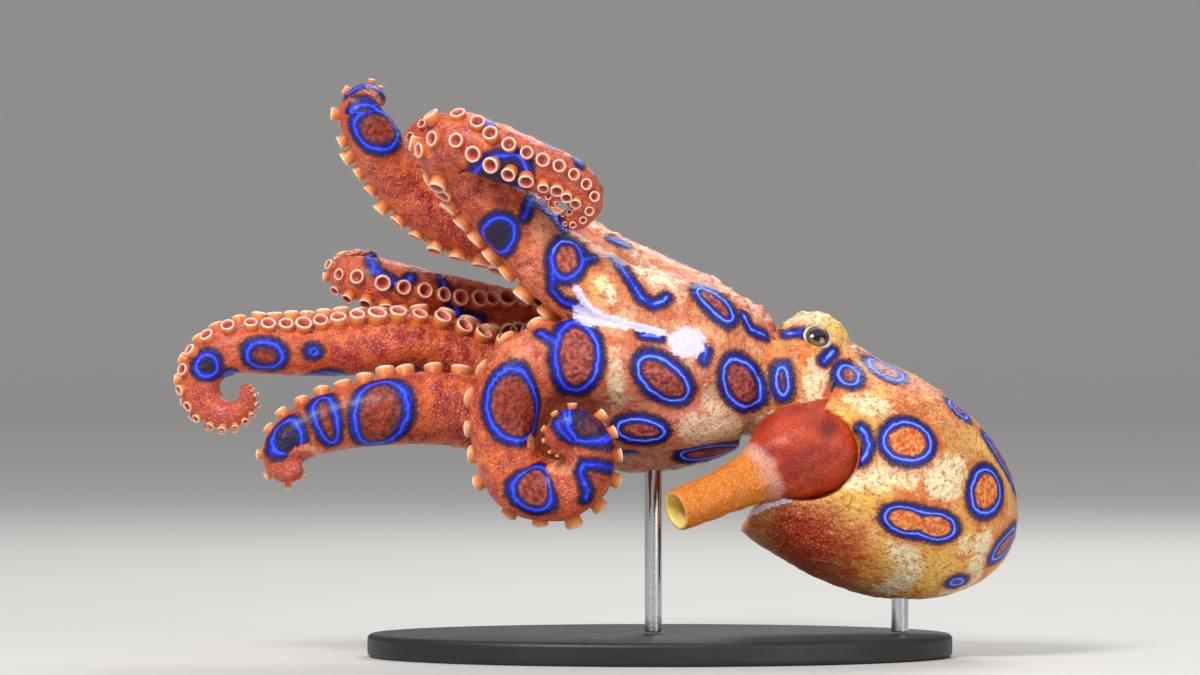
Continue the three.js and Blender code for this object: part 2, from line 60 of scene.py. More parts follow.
# The photograph's frame: the camera is level, and one pixel is PIXEL wide in the plane of the body's middle
PIXEL = 0.15
IMAGE = {"width": 1200, "middle_x": 600, "middle_y": 337.5}
CAMERA_DISTANCE = 900
CAMERA_HEIGHT = 48
CAMERA_AT = np.array([0.0, -CAMERA_DISTANCE, CAMERA_HEIGHT])
SENSOR = 36.0

# The animal's own directions
ROLL = math.radians(27)
VIEW_AXIS = np.array([0.0, -1, 0])


def unit(v):
    return v / np.linalg.norm(v, axis=-1, keepdims=True)


FORWARD = unit(np.array([-0.971, 0, 0.239]))
BACK = unit(np.array([0.239 * math.cos(ROLL), math.sin(ROLL), 0.971 * math.cos(ROLL)]))
LEFT = unit(np.cross(BACK, FORWARD))


def mirrored(point):
    """The same place on the animal's other side, or the places of many points."""
    return point - 2 * ((point - HEAD_CENTRE) @ LEFT)[..., None] * LEFT


# Limbs: round bodies along smooth lines


CURVE_STEPS = 40  # of a smooth line, between two stations
TUBE_STEP = 0.8  # between the rings of a limb's surface


def smooth_line(points):
    """A smooth curve through the points, without loops between them."""
    points = np.asarray(points, float)
    ends = np.vstack([2 * points[0] - points[1], points, 2 * points[-1] - points[-2]])
    line = []
    for a, b, c, d in zip(ends, ends[1:], ends[2:], ends[3:]):
        ab, bc, cd = (math.sqrt(np.linalg.norm(q - p)) for p, q in ((a, b), (b, c), (c, d)))
        start = ((b - a) / ab - (c - a) / (ab + bc) + (c - b) / bc) * bc
        end = ((c - b) / bc - (d - b) / (bc + cd) + (d - c) / cd) * bc
        t = np.arange(CURVE_STEPS)[:, None] / CURVE_STEPS
        second, third = 3 * (c - b) - 2 * start - end, 2 * (b - c) + start + end
        line.append(b + t * start + t**2 * second + t**3 * third)
    return np.vstack([*line, points[-1:]])


class Limb:
    """Stations are x, y, z, radius and twist, the turn of the sucker side in degrees."""

    def __init__(self, stations, flatness=1.0):
        stations = np.asarray(stations, float)
        self.line = smooth_line(stations[:, :3])
        self.distances = np.append(0, np.cumsum(np.linalg.norm(np.diff(self.line, axis=0), axis=1)))
        self.length = self.distances[-1]
        self.stations_at = self.distances[::CURVE_STEPS]
        self.stations = stations
        self.tangents = unit(np.gradient(self.line, axis=0))
        self.flatness = flatness

    def frames(self, distance):
        """Centres, directions and radii at distances along the limb."""
        distance = np.asarray(distance, float)
        centre = np.stack([np.interp(distance, self.distances, axis) for axis in self.line.T], -1)
        along = unit(np.stack([np.interp(distance, self.distances, axis) for axis in self.tangents.T], -1))
        radius = np.interp(distance, self.stations_at, self.stations[:, 3])
        twist = np.radians(np.interp(distance, self.stations_at, self.stations[:, 4]))[..., None]
        outside = unit(np.cross(along, VIEW_AXIS))
        away = unit(np.cross(outside, along))
        away = np.where(away[..., 1:2] < 0, -away, away)
        oral = outside * np.cos(twist) + away * np.sin(twist)
        side = np.cross(along, oral)
        return {"centre": centre, "along": along, "oral": oral, "side": side, "radius": radius}

    def surface(self, distance, angle, grow=0.0):
        """The surface points at angles from the middle of the sucker side."""
        f = self.frames(distance)
        reach = (f["radius"] + grow)[..., None]
        angle = np.asarray(angle)[..., None]
        return f["centre"] + reach * (np.sin(angle) * f["side"] + np.cos(angle) * self.flatness * f["oral"])

    def tube(self, sides=24):
        """Vertices and faces of the whole limb as a closed tube."""
        rings = max(2, round(self.length / TUBE_STEP)) + 1
        angle = np.arange(sides) * math.tau / sides
        distance = np.linspace(0, self.length, rings)
        points = self.surface(np.repeat(distance, sides), np.tile(angle, rings))
        return points, tube_faces(rings, sides)


def tube_faces(rings, sides):
    """The faces of a closed tube: its wall and a cap at each end."""
    faces = []
    for a in range(0, (rings - 1) * sides, sides):
        b = a + sides
        faces += [[a + i, a + (i + 1) % sides, b + (i + 1) % sides, b + i] for i in range(sides)]
    first_cap = list(range(sides))[::-1]
    last_cap = [(rings - 1) * sides + i for i in range(sides)]
    return [*faces, first_cap, last_cap]


ARMS = {
    "left_1": [
        (21.7, 0.4, 46.0, 6.3, 175),
        (15.6, 0.7, 51.0, 6.3, 175),
        (8.5, 1.4, 54.7, 6.2, 175),
        (1.5, 2.0, 57.9, 6.0, 172),
        (-6, 5.0, 61.8, 5.6, 170),
        (-13.5, 6.3, 64.0, 5.2, 168),
        (-20.6, 6.3, 65.4, 4.9, 166),
        (-26.2, 5.0, 68.4, 4.7, 164),
        (-30.7, 3.0, 72.8, 4.6, 160),
        (-34.0, 1.0, 77.8, 4.3, 158),
        (-35.8, 0, 81.6, 3.7, 156),
        (-35.0, 1.6, 84.0, 2.6, 160),
        (-32.9, 4.0, 83.8, 1.0, 165),
    ],
    "left_2": [
        (21.4, -3.2, 45.6, 6.5, 139),
        (15.1, -5.8, 50.0, 6.5, 139),
        (8.5, -7.6, 51.2, 6.5, 140),
        (2.2, -8.5, 53.4, 6.4, 140),
        (-4.5, -8.5, 57.4, 6.2, 140),
        (-10.5, -8.5, 63.0, 5.7, 142),
        (-15.5, -9.0, 68.2, 5.3, 148),
        (-19.5, -9.5, 72.6, 4.9, 160),
        (-22.6, -12, 75.6, 4.6, 200),
        (-20.6, -16.2, 77.0, 4.4, 240),
        (-15.4, -18.8, 75.2, 4.1, 270),
        (-9.8, -19.4, 73.2, 3.8, 280),
        (-4.6, -18.8, 71.2, 3.4, 282),
        (-2.0, -17.8, 68.4, 2.8, 278),
        (-3.6, -17.2, 65.6, 2.0, 272),
        (-6.2, -17.0, 65.4, 0.9, 268),
    ],
    "left_3": [
        (20.6, -5, 42.3, 6.5, 95),
        (13.7, -8.6, 44.1, 6.5, 92),
        (6, -10.8, 43.6, 6.3, 85),
        (0, -12.4, 44.3, 6.0, 74),
        (-6, -13.5, 44.9, 5.7, 64),
        (-11.3, -14, 42.8, 5.5, 56),
        (-13.8, -14, 37.9, 5.4, 52),
        (-13.8, -14, 31.9, 5.1, 50),
        (-11.8, -14, 26.9, 4.9, 48),
        (-6.2, -14.8, 25.4, 4.6, 46),
        (-2.2, -16.8, 27.8, 4.2, 44),
        (-1.5, -19, 32.0, 3.7, 40),
        (-3.6, -20.4, 35.0, 2.9, 36),
        (-6.2, -20.6, 34.2, 2.1, 34),
        (-6.6, -20, 32.2, 1.2, 32),
        (-5.0, -19.6, 31.4, 0.7, 32),
    ],
    "left_4": [
        (19.7, -3.8, 38.8, 6.5, 52),
        (12.1, -6.6, 37.7, 6.5, 52),
        (5.0, -7.0, 36.6, 6.3, 52),
        (-1.5, -4.2, 35.4, 6.1, 50),
        (-9, -1.0, 34.6, 5.9, 50),
        (-18, 1.5, 36.4, 5.7, 48),
        (-25.5, 1, 37.4, 5.6, 46),
        (-30.8, 0, 37.0, 5.4, 46),
        (-36.3, 0, 36.2, 5.0, 46),
        (-41.3, 0, 35.0, 4.5, 46),
        (-45.5, -0.6, 33.0, 3.9, 44),
        (-48.0, -1.2, 30.2, 2.9, 42),
        (-46.8, -1.8, 27.8, 2.0, 40),
        (-44.6, -2.2, 28.8, 1.0, 38),
    ],
    "right_4": [
        (19.3, -0.4, 37.1, 6.5, 6),
        (11.4, -0.2, 34.3, 6.5, 6),
        (3.2, 3.6, 33.6, 6.2, 4),
        (-4.5, 10.2, 36.3, 5.9, 0),
        (-12, 13.5, 39.5, 5.6, 0),
        (-19.5, 12.5, 43.9, 5.3, -4),
        (-26.3, 10.5, 46.6, 5.1, -8),
        (-32.3, 8, 47.0, 4.9, -10),
        (-39, 6, 46.6, 4.7, -12),
        (-45, 4.5, 46.3, 4.4, -14),
        (-50.7, 3.5, 46.4, 4.2, -14),
        (-55.4, 3, 46.2, 3.9, -12),
        (-59.0, 3, 44.0, 3.5, -10),
        (-60.2, 2.8, 40.4, 3.1, -8),
        (-58.4, 2.0, 37.2, 2.6, -8),
        (-55.2, 0.8, 36.4, 2.1, -8),
        (-52.8, -0.6, 38.3, 1.6, -8),
        (-53.4, -1.8, 40.7, 0.9, -8),
    ],
    "right_3": [
        (19.6, 3.2, 38.2, 6.5, -41),
        (11.9, 6.4, 37.4, 6.4, -44),
        (4.5, 12.5, 41.0, 6.1, -50),
        (-3.8, 19.6, 45.6, 5.7, -58),
        (-12, 23.2, 49.6, 5.3, -70),
        (-18.8, 22, 51.4, 5.0, -84),
        (-24.3, 19.4, 53.2, 4.7, -98),
        (-30, 17, 55.1, 4.3, -108),
        (-35.1, 16.5, 56.6, 3.8, -114),
        (-38.3, 18.8, 57.3, 3.2, -116),
        (-38.8, 22.3, 58.2, 2.5, -116),
        (-36.6, 24.4, 59.6, 1.8, -116),
        (-34.4, 23.8, 60.8, 0.9, -116),
    ],
    "right_2": [
        (20.4, 5, 41.5, 6.5, -86),
        (13.3, 9, 42.9, 6.4, -86),
        (5.5, 18.5, 48.0, 6.0, -88),
        (0, 27.2, 54.8, 5.6, -90),
        (-4.4, 31.4, 59.2, 5.1, -92),
        (-9.4, 33.4, 62.4, 4.6, -94),
        (-13.8, 34.2, 65.4, 4.1, -96),
        (-16.4, 34.8, 70.0, 3.6, -100),
        (-13.6, 35.8, 73.8, 3.0, -104),
        (-9.4, 36.5, 73.2, 2.3, -106),
        (-7.8, 36.7, 69.8, 1.7, -108),
        (-9.4, 36.4, 67.6, 0.9, -110),
    ],
    "right_1": [
        (21.3, 3.8, 45.1, 6.5, -130),
        (14.9, 6.8, 48.7, 6.4, -130),
        (6, 10.8, 53.8, 6.1, -128),
        (-1, 15.2, 58.4, 5.8, -124),
        (-8, 18.4, 62.3, 5.4, -120),
        (-15, 20.2, 65.6, 5.0, -114),
        (-21.4, 19.2, 69.2, 4.5, -108),
        (-25.8, 16.6, 73.4, 3.9, -102),
        (-27.4, 13.6, 77.0, 3.2, -98),
        (-25.2, 12.4, 79.6, 2.5, -94),
        (-22.2, 13.4, 79.4, 1.8, -92),
        (-20.8, 15.2, 77.6, 0.9, -90),
    ],
}
arms = {name: Limb(stations, ARM_FLATNESS) for name, stations in ARMS.items()}
# How far along each arm the web between the arms reaches; the arms are in their order round the crown
WEB_ENDS = {
    "left_1": 26,
    "left_2": 27,
    "left_3": 26,
    "left_4": 28,
    "right_4": 27,
    "right_3": 32,
    "right_2": 33,
    "right_1": 26,
}
WEB = {"start": 8, "short": 1.2, "arch": 0.3, "thickness": 1.4, "out": 0.7, "count": 24}

CORE = Limb(
    [
        (24.2, 0, 42.1, 8.9, 0),
        (19.5, 0, 43.3, 10.3, 0),
        (13, 0, 44.6, 11.4, 0),
        (5, 0, 46.4, 11.2, 0),
        (0.5, 1, 47.4, 8.6, 0),
        (-1.8, 1, 47.8, 5.0, 0),
    ]
)
HEAD = Limb(
    [
        (40, 1, 34.4, 9.4, 0),
        (34, 0.5, 38.0, 10.0, 0),
        (29, 0, 40.6, 9.9, 0),
        (24.5, 0, 42.1, 9.0, 0),
    ]
)
EYE_BUMP = {"in": 2.4, "up": 0.9, "radii": (4.8, 5.4, 4.6)}
SOCKET = {"radius": EYE_RADIUS - 0.3, "depth": 6}
FUNNEL = Limb(
    [
        (36.4, -6.0, 31.6, 6.6, 0),
        (33.2, -8.0, 31.6, 7.3, 0),
        (29.4, -9.8, 30.8, 7.2, 0),
        (26.4, -11.4, 29.4, 6.3, 0),
        (24.6, -12.4, 28.4, 4.7, 0),
        (22.4, -13.7, 27.2, 3.6, 0),
        (18.0, -16.2, 25.2, 3.35, 0),
        (14.0, -18.5, 23.6, 3.25, 0),
        (11.4, -20, 22.7, 3.1, 0),
    ]
)

# Mesh helpers


def mesh_object(name, points, faces):
    """A mesh object from points in the animal's frame."""
    mesh = bpy.data.meshes.new(name)
    mesh.from_pydata((np.asarray(points) * MM).tolist(), [], [list(map(int, f)) for f in faces])
    mesh.validate()
    made = bpy.data.objects.new(name, mesh)
    bpy.context.scene.collection.objects.link(made)
    return made


def outward(obj):
    """Turns all faces of a closed mesh outwards."""
    bm = bmesh.new()
    bm.from_mesh(obj.data)
    bmesh.ops.recalc_face_normals(bm, faces=bm.faces)
    bm.to_mesh(obj.data)
    bm.free()
    return obj


def applied(obj):
    """Replaces an object's mesh by the result of its modifiers."""
    depsgraph = bpy.context.evaluated_depsgraph_get()
    mesh = bpy.data.meshes.new_from_object(obj.evaluated_get(depsgraph))
    obj.modifiers.clear()
    old, obj.data = obj.data, mesh
    bpy.data.meshes.remove(old)
    return obj


def remove(obj):
    mesh = obj.data
    bpy.data.objects.remove(obj)
    bpy.data.meshes.remove(mesh)


def cut(obj, *cutters):
    """Cuts closed meshes out of a closed mesh, and deletes them."""
    for cutter in cutters:
        modifier = obj.modifiers.new("cut", "BOOLEAN")
        modifier.operation = "DIFFERENCE"
        modifier.object = cutter
        applied(obj)
        remove(cutter)
    return obj


def joined(name, objects):
    """One mesh that holds the faces of several."""
    bm = bmesh.new()
    for obj in objects:
        bm.from_mesh(obj.data)
        remove(obj)
    mesh = bpy.data.meshes.new(name)
    bm.to_mesh(mesh)
    bm.free()
    made = bpy.data.objects.new(name, mesh)
    bpy.context.scene.collection.objects.link(made)
    return made


def coordinates(obj):
    values = np.empty(len(obj.data.vertices) * 3)
    obj.data.vertices.foreach_get("co", values)
    return values.reshape(-1, 3) / MM


def set_coordinates(obj, points):
    obj.data.vertices.foreach_set("co", (points * MM).ravel())
    obj.data.update()


def normals(obj):
    values = np.empty(len(obj.data.vertices) * 3)
    obj.data.vertices.foreach_get("normal", values)
    return values.reshape(-1, 3)


def paint(obj, name, values):
    """Stores one number for each vertex, for the material to read."""
    layer = obj.data.attributes.new(name, "FLOAT", "POINT")
    layer.data.foreach_set("value", np.asarray(values, np.float32))


def shade_smooth(obj):
    obj.data.polygons.foreach_set("use_smooth", [True] * len(obj.data.polygons))


def ellipsoid(name, centre, radii, axes, segments=48):
    bm = bmesh.new()
    bmesh.ops.create_uvsphere(bm, u_segments=segments, v_segments=segments // 2, radius=1)
    points = np.array([v.co[:] for v in bm.verts])
    faces = [[v.index for v in f.verts] for f in bm.faces]
    bm.free()
    basis = np.array([axis * radius for axis, radius in zip(axes, radii)])
    return outward(mesh_object(name, centre + points @ basis, faces))


def across(direction):
    """Two directions square to one and to each other."""
    helper = np.array([0.0, 0, 1]) if abs(direction[2]) < 0.9 else np.array([1.0, 0, 0])
    first = unit(np.cross(direction, helper))
    return first, np.cross(direction, first)


def lathe(profile, start, direction, sides):
    """Points and faces of a turned form: the profile is radius and height along the direction."""
    first, second = across(direction)
    angle = np.arange(sides) * math.tau / sides
    spokes = np.outer(np.cos(angle), first) + np.outer(np.sin(angle), second)
    points = [start + h * direction + r * spoke for r, h in profile for spoke in spokes]
    return np.array(points), tube_faces(len(profile), sides)


# The skin: every fleshy form joined into one surface


def mantle():
    """The egg-shaped sac, open on its near side where the funnel's collar shows."""
    front, tip = np.array(MANTLE["front"]), np.array(MANTLE["tip"])
    length = np.linalg.norm(tip - front)
    axis = (tip - front) / length
    widest, radius = MANTLE["widest"], MANTLE["radius"]
    edge = MANTLE_EDGE["radius"] * radius
    hollow = MANTLE_EDGE["hollow"]
    profile = [(0.01, hollow), (MANTLE_EDGE["floor"] * radius, hollow)]
    profile += [(edge - MANTLE_EDGE["lip"], 0.3), (edge, 0.4)]
    for angle in np.linspace(-math.acos(widest), math.pi / 2, 41)[1:-1]:
        if angle < 0:
            along = widest * (1 + math.sin(angle))
            r = 1 - (1 - MANTLE_EDGE["radius"]) * math.sin(angle) ** 2
        else:
            along = widest + math.sin(angle) * (1 - widest)
            r = math.cos(angle)
        profile.append((r * radius, max(1.2, along * length)))
    profile.append((0.01, length))
    points, faces = lathe(profile, front, axis, 96)
    near = np.clip(1 - (points - front) @ axis / VENTRAL_LIP["depth"], 0, 1)
    ventral = np.clip(-(points - front) @ BACK / radius, 0, 1)
    points -= VENTRAL_LIP["reach"] * np.outer(near * ventral, axis)
    sac = outward(mesh_object("mantle_sac", points, faces))
    notch = ellipsoid("notch", COLLAR_NOTCH["centre"], COLLAR_NOTCH["radii"], (FORWARD, LEFT, BACK))
    return cut(sac, notch)


def web(first, second):
    """The sheet between two neighbouring arms, with an arched free edge."""
    count = WEB["count"]
    across_share = np.linspace(0, 1, count)

    def outer(name, distance):
        f = arms[name].frames(distance)
        return f["centre"] - WEB["out"] * f["radius"][..., None] * f["oral"]

    def row(along):
        arch = 1 - WEB["arch"] * 4 * across_share * (1 - across_share)
        reaches = [(WEB_ENDS[name] - WEB["short"]) * arch for name in (first, second)]
        ends = [WEB["start"] + along * (reach - WEB["start"]) for reach in reaches]
        a, b = outer(first, ends[0]), outer(second, ends[1])
        return a + (b - a) * across_share[:, None]

    grid = np.array([row(along) for along in np.linspace(0, 1, count)])
    normal = unit(np.cross(np.gradient(grid, axis=1), np.gradient(grid, axis=0)))
    sheets = np.stack([grid + normal * WEB["thickness"] / 2, grid - normal * WEB["thickness"] / 2])
    index = np.arange(2 * count * count).reshape(2, count, count)
    faces = []
    for i in range(count - 1):
        for j in range(count - 1):
            quad = [index[0, i, j], index[0, i + 1, j], index[0, i + 1, j + 1], index[0, i, j + 1]]
            faces += [quad, [k + count * count for k in quad[::-1]]]
    edge = [*index[0, 0, :-1], *index[0, :-1, -1], *index[0, -1, :0:-1], *index[0, :0:-1, 0]]
    for a, b in zip(edge, edge[1:] + edge[:1]):
        faces.append([a, b, b + count * count, a + count * count])
    return outward(mesh_object("web", sheets.reshape(-1, 3), faces))


def eye_bump(centre, out):
    """The mound round an eye, with the socket's opening."""
    middle = centre - EYE_BUMP["in"] * out + EYE_BUMP["up"] * BACK
    bump = ellipsoid("bump", middle, EYE_BUMP["radii"], (BACK, FORWARD, LEFT))
    radius, depth = SOCKET["radius"], SOCKET["depth"]
    opening = [(0.01, 0), (radius, 0), (radius, depth), (0.01, depth)]
    return cut(bump, outward(mesh_object("opening", *lathe(opening, centre, out, 48))))


def smoothed(points, edges, strength, rounds):
    """Moves each point towards the mean of its neighbours; strength is one number for each point."""
    count = len(points)
    ends = np.concatenate([edges, edges[:, ::-1]])
    degree = np.bincount(ends[:, 0], minlength=count)[:, None]
    for _ in range(rounds):
        total = np.stack([np.bincount(ends[:, 0], points[ends[:, 1], k], count) for k in range(3)], -1)
        points = points + strength[:, None] * (total / degree - points)
    return points


def edges_of(obj):
    values = np.empty(len(obj.data.edges) * 2, int)
    obj.data.edges.foreach_get("vertices", values)
    return values.reshape(-1, 2)


def make_skin():
    parts = [mantle(), eye_bump(EYE_AT, LEFT), eye_bump(mirrored(EYE_AT), -LEFT)]
    parts.append(mesh_object("neck", *HEAD.tube(40)))
    parts.append(mesh_object("core", *CORE.tube(40)))
    parts += [mesh_object("arm", *limb.tube()) for limb in arms.values()]
    neighbours = zip(ARMS, [*ARMS][1:] + [*ARMS][:1])
    parts += [web(first, second) for first, second in neighbours]
    skin = joined("skin", parts)
    remesh = skin.modifiers.new("remesh", "REMESH")
    remesh.mode = "VOXEL"
    remesh.voxel_size = VOXEL * MM
    return applied(skin)


# The suckers

SUCKER = {"share": 0.3, "least": 0.34, "pitch": 1.0, "row_angle": 0.44, "start": 17, "sides": 18}
SUCKER_VARIES = {"size": 0.22, "height": 0.6, "lean": 0.3}
LEAN_SEED = 1  # of the noise that leans the suckers
SUCKER_CLEAR = 0.3  # the least gap to another arm, as a share of the sucker's radius
OWN_TURN = 12  # how far along it an arm can meet itself again
CUP = [  # radius and height in sucker radii, from the sunk root to the middle of the floor
    (0.05, -0.9),
    (0.86, -0.9),
    (0.9, -0.1),
    (0.84, 0.3),
    (0.88, 0.6),
    (0.92, 0.8),
    (0.84, 0.92),
    (0.7, 0.88),
    (0.6, 0.68),
    (0.48, 0.46),
    (0.32, 0.36),
    (0.03, 0.34),
]


def inside_other(limb, distance, point, reach):
    """Whether another arm, or a further turn of the same one, fills a point."""
    for other in arms.values():
        along = other.distances[:: CURVE_STEPS // 2]
        f = other.frames(along)
        gap = np.linalg.norm(f["centre"] - point, axis=1) - f["radius"]
        if other is limb:
            gap = gap[np.abs(along - distance) > OWN_TURN]
        if len(gap) and gap.min() < reach:
            return True
    return False


def suckers(name, limb):
    points, faces, height = [], [], []
    distance = SUCKER["share"] * ARM_ROOT_RADIUS
    row = 1
    while distance < limb.length - 0.4:
        f = limb.frames(distance)
        radius = max(SUCKER["least"], SUCKER["share"] * float(f["radius"]))
        root = limb.surface(distance, row * SUCKER["row_angle"])
        if distance > SUCKER["start"] and not inside_other(limb, distance, root, SUCKER_CLEAR * radius):
            out = unit(root - f["centre"])
            vary = 1 + SUCKER_VARIES["size"] * noise.noise(Vector(root * 0.7))
            taller = 1 + SUCKER_VARIES["height"] * noise.noise(Vector(root * 0.9 + 5))
            lean = noise.noise_vector(Vector(root * 0.8))
            out = unit(out + SUCKER_VARIES["lean"] * np.array(lean))
            profile = [(r * radius * vary, h * radius * (taller if h > 0 else 1)) for r, h in CUP]
            cup, cup_faces = lathe(profile, root, out, SUCKER["sides"])
            faces += [[i + len(points) * len(cup) for i in face] for face in cup_faces]
            points.append(cup)
            height.append(np.repeat(np.arange(len(CUP)) / (len(CUP) - 1), SUCKER["sides"]))
        distance += SUCKER["pitch"] * radius
        row = -row
    made = mesh_object(f"suckers_{name}", np.vstack(points), faces)
    paint(made, "cup", np.concatenate(height))
    shade_smooth(made)
    return made


# Rings as the photograph shows them: pixel_x, pixel_y, half_width, half_height, tilt, waist and tone.
# The tilt is in degrees from level, up to the right. The tone of the filling is from 0, orange, to 1, black.
BODY_RINGS = [
    (908, 441, 23, 18.5, -14, 0, 0),
    (921, 523.5, 25, 17.5, -12, 0.4, 0),
    (987, 491, 14, 21.7, -3, 0, 0),
    (886, 369, 19, 8, -27, 0, 0.45),
    (848.5, 374.5, 10.5, 8.5, -30, 0, 0.35),
    (1003, 460, 30, 6, -60, 0, 0.5),
    (1006, 545, 18, 6, 55, 0, 0.4),
    (957, 582, 6, 3, 15, 0, 0.5),
    (958, 409, 12, 5, -45, 0, 0.5),
    (782, 381, 6, 14, 5, 0, 0.6),
    (664, 380, 29, 16, -38, 0, 0.45),
    (743.5, 384.5, 25.5, 17, -60, 0, 0.4),
    (641, 431, 22, 11, -5, 0.05, 0.45),
    (710, 453, 28, 6, 10, 0, 0.5),
    (716, 303, 23, 7.5, -42, 0, 0.5),
    (577, 356, 20, 35, 0, 0.06, 0.5),
    (567, 259, 15, 18, 0, 0, 0.3),
]
ARM_RINGS = {
    "left_1": [(380, 130, 20, 20, 0, 0, 0.7)],
    "left_2": [
        (498, 180, 22, 12, 0, 0, 1.0),
        (497, 237, 15, 17, 0, 0.05, 1.0),
    ],
    "left_3": [
        (515, 408, 26, 37, 8, 0, 0.65),
        (535, 487, 22, 22, 0, 0, 0.6),
        (598, 422, 13, 15, 0, 0, 0.95),
    ],
    "left_4": [
        (377.5, 415, 22, 33, -10, 0.05, 0.75),
        (327, 420, 12, 24, 15, 0, 0.85),
        (287, 440, 14, 20, 10, 0, 1.0),
    ],
    "right_4": [
        (265, 356, 17, 13, -6, 0, 0.8),
        (207, 366, 11, 12, 0, 0, 1.0),
        (314, 351, 3, 3, 0, 0, 1.0),
    ],
}
# Rings on the back of the crown, which the photograph doesn't show: x, y, half_length and half_width
BACK_RINGS = [
    (21, 7, 3.4, 2.3),
    (12, 3, 3.2, 2.2),
    (9, 13, 3.4, 2.4),
    (14, 8.5, 2.2, 1.7),
    (1, 8, 2.8, 2.0),
    (1, 21, 2.8, 2.0),
]
BACK_RING_TONE = 0.5
# Open blue lines, as pixels along each
OPEN_LINES = [
    [(615, 260), (619, 264), (628, 277), (642, 298), (652, 304), (663, 301), (667, 297)],
    [(744, 316), (751, 329), (764, 335)],
    [(612, 239), (625, 245)],
    [(532, 198), (524, 218)],
    [(540, 204), (556, 218), (564, 230)],
    [(582, 260), (592, 258)],
    [(553, 272), (552, 290), (562, 302), (582, 308)],
    [(431, 117), (433, 123)],
    [(487, 121), (490, 128)],
    [(546, 140), (551, 146)],
    [(576, 157), (580, 163)],
    [(348, 94), (358, 87), (371, 84), (382, 92)],
    [(370, 257), (375, 270), (390, 280), (402, 287), (411, 277)],
    [(442, 280), (450, 297), (460, 317), (480, 320)],
    [(540, 333), (548, 338), (556, 344)],
    [(642, 335), (659, 337)],
    [(620, 454), (632, 454)],
    [(612, 468), (598, 465), (584, 464), (580, 472), (584, 482), (588, 490), (586, 500)],
    [(556, 422), (562, 432), (570, 440)],
    [(861, 428), (866, 434), (869, 445), (866, 455), (861, 461)],
    [(787, 334), (801, 333)],
    [(833, 351), (824, 361)],
    [(698, 346), (706, 352), (704, 360)],
]
WEB_FOLD = [(577, 289), (585, 302), (598, 314), (627, 323), (663, 333)]  # the fold between two arms, raised; its white paint is a painted highlight on the wet web's edge
MANTLE_FRILL = [(748, 516), (765, 507), (785, 501), (806, 496)]  # the mantle's pale rim


FAR_OFF = 50.0  # the distance where no ring is near
SEEN_SLANT = 0.1  # a surface whose normal leans nearer to the camera than this shows in the photograph
BODY_RING_LIMIT = 41  # how far along an arm the rings in flat charts reach
LONGEST_SLANT = 2.2  # the most that a slanting surface stretches a ring
RING_SKIN = {"facing": 0.05, "height": 7}  # the skin that a flat chart covers
LINE = {"steps": 12, "reach": 2.5}  # points between two pixels of a line, and how far from it to look
ARM_MAP = {"margin": 8, "step": 1.0, "chunk": 20000}


def seen_at(pixel_x, pixel_y):
    """The direction from the camera through a pixel of the photograph."""
    x = (pixel_x - IMAGE["middle_x"]) * PIXEL
    z = CAMERA_HEIGHT - (pixel_y - IMAGE["middle_y"]) * PIXEL
    return unit(np.array([x, 0, z]) - CAMERA_AT)


class Ring:
    """An oval line in a flat chart of the skin, and the tone of its filling."""

    def __init__(self, axes, waist, tone):
        self.to_circle = np.linalg.inv(axes)
        self.waist, self.tone = waist, tone

    def distance(self, chart):
        """Millimetres from the line, less than 0 inside."""
        q = chart @ self.to_circle.T
        reach = np.linalg.norm(q, axis=1) + 1e-9
        outline = 1 + self.waist * (2 * (q[:, 0] / reach) ** 2 - 1)
        slope = np.linalg.norm((q / reach[:, None]) @ self.to_circle, axis=1)
        return (reach - outline) / slope


class BodyRing(Ring):
    """A ring in the plane that touches the skin at its centre."""

    def __init__(self, centre, normal, axes, waist, tone):
        self.centre, self.normal, self.axes = centre, normal, axes
        self.size = math.sqrt(np.linalg.norm(axes[0]) * np.linalg.norm(axes[1]))
        self.basis = np.stack(across(normal))
        super().__init__(self.basis @ np.stack(axes, -1), waist, tone)

    def distance(self, points, skin_normals):
        offset = points - self.centre
        off_side = skin_normals @ self.normal < RING_SKIN["facing"]
        off_side |= np.abs(offset @ self.normal) > RING_SKIN["height"]
        return np.where(off_side, FAR_OFF, super().distance(offset @ self.basis.T))


class ArmRing(Ring):
    """A ring in an arm's own chart: the distances along it and round it."""

    def __init__(self, along, angle, axes, waist, tone):
        self.along, self.angle = along, angle
        self.size = np.abs(axes).max()
        super().__init__(axes, waist, tone)

    def distance(self, where, chosen):
        turn = (where.angle[chosen] - self.angle + math.pi) % math.tau - math.pi
        chart = np.stack([where.distance[chosen] - self.along, turn * where.radius[chosen]], -1)
        return super().distance(chart)


def seen_axes(sight, normal, half_width, half_height, tilt):
    """The half axes, on the surface with that normal, of a ring that looks so from the camera."""
    turn = math.radians(tilt)
    level = np.array([math.cos(turn), 0, math.sin(turn)])
    upright = np.array([-math.sin(turn), 0, math.cos(turn)])
    axes = []
    for direction, half in ((level, half_width), (upright, half_height)):
        on_plane = direction - sight * (direction @ normal) / (sight @ normal)
        stretch = min(LONGEST_SLANT, np.linalg.norm(on_plane))
        axes.append(unit(on_plane) * stretch * half * PIXEL)
    return axes


def cast(tree, pixel_x, pixel_y):
    """Where the line of sight through a pixel meets the skin, and the skin's normal there."""
    sight = seen_at(pixel_x, pixel_y)
    hit, normal, _, _ = tree.ray_cast(Vector(CAMERA_AT), Vector(sight))
    if hit is None:
        return None
    return np.array(hit), np.array(normal), sight


def far_ring(tree, ring):
    """The ring's match on the animal's other side."""
    at, normal, _, _ = tree.find_nearest(Vector(mirrored(ring.centre)))
    normal = np.array(normal)
    axes = [mirrored(ring.centre + axis) - mirrored(ring.centre) for axis in ring.axes]
    axes = [axis - normal * (axis @ normal) for axis in axes]
    return BodyRing(np.array(at), normal, axes, ring.waist, ring.tone)


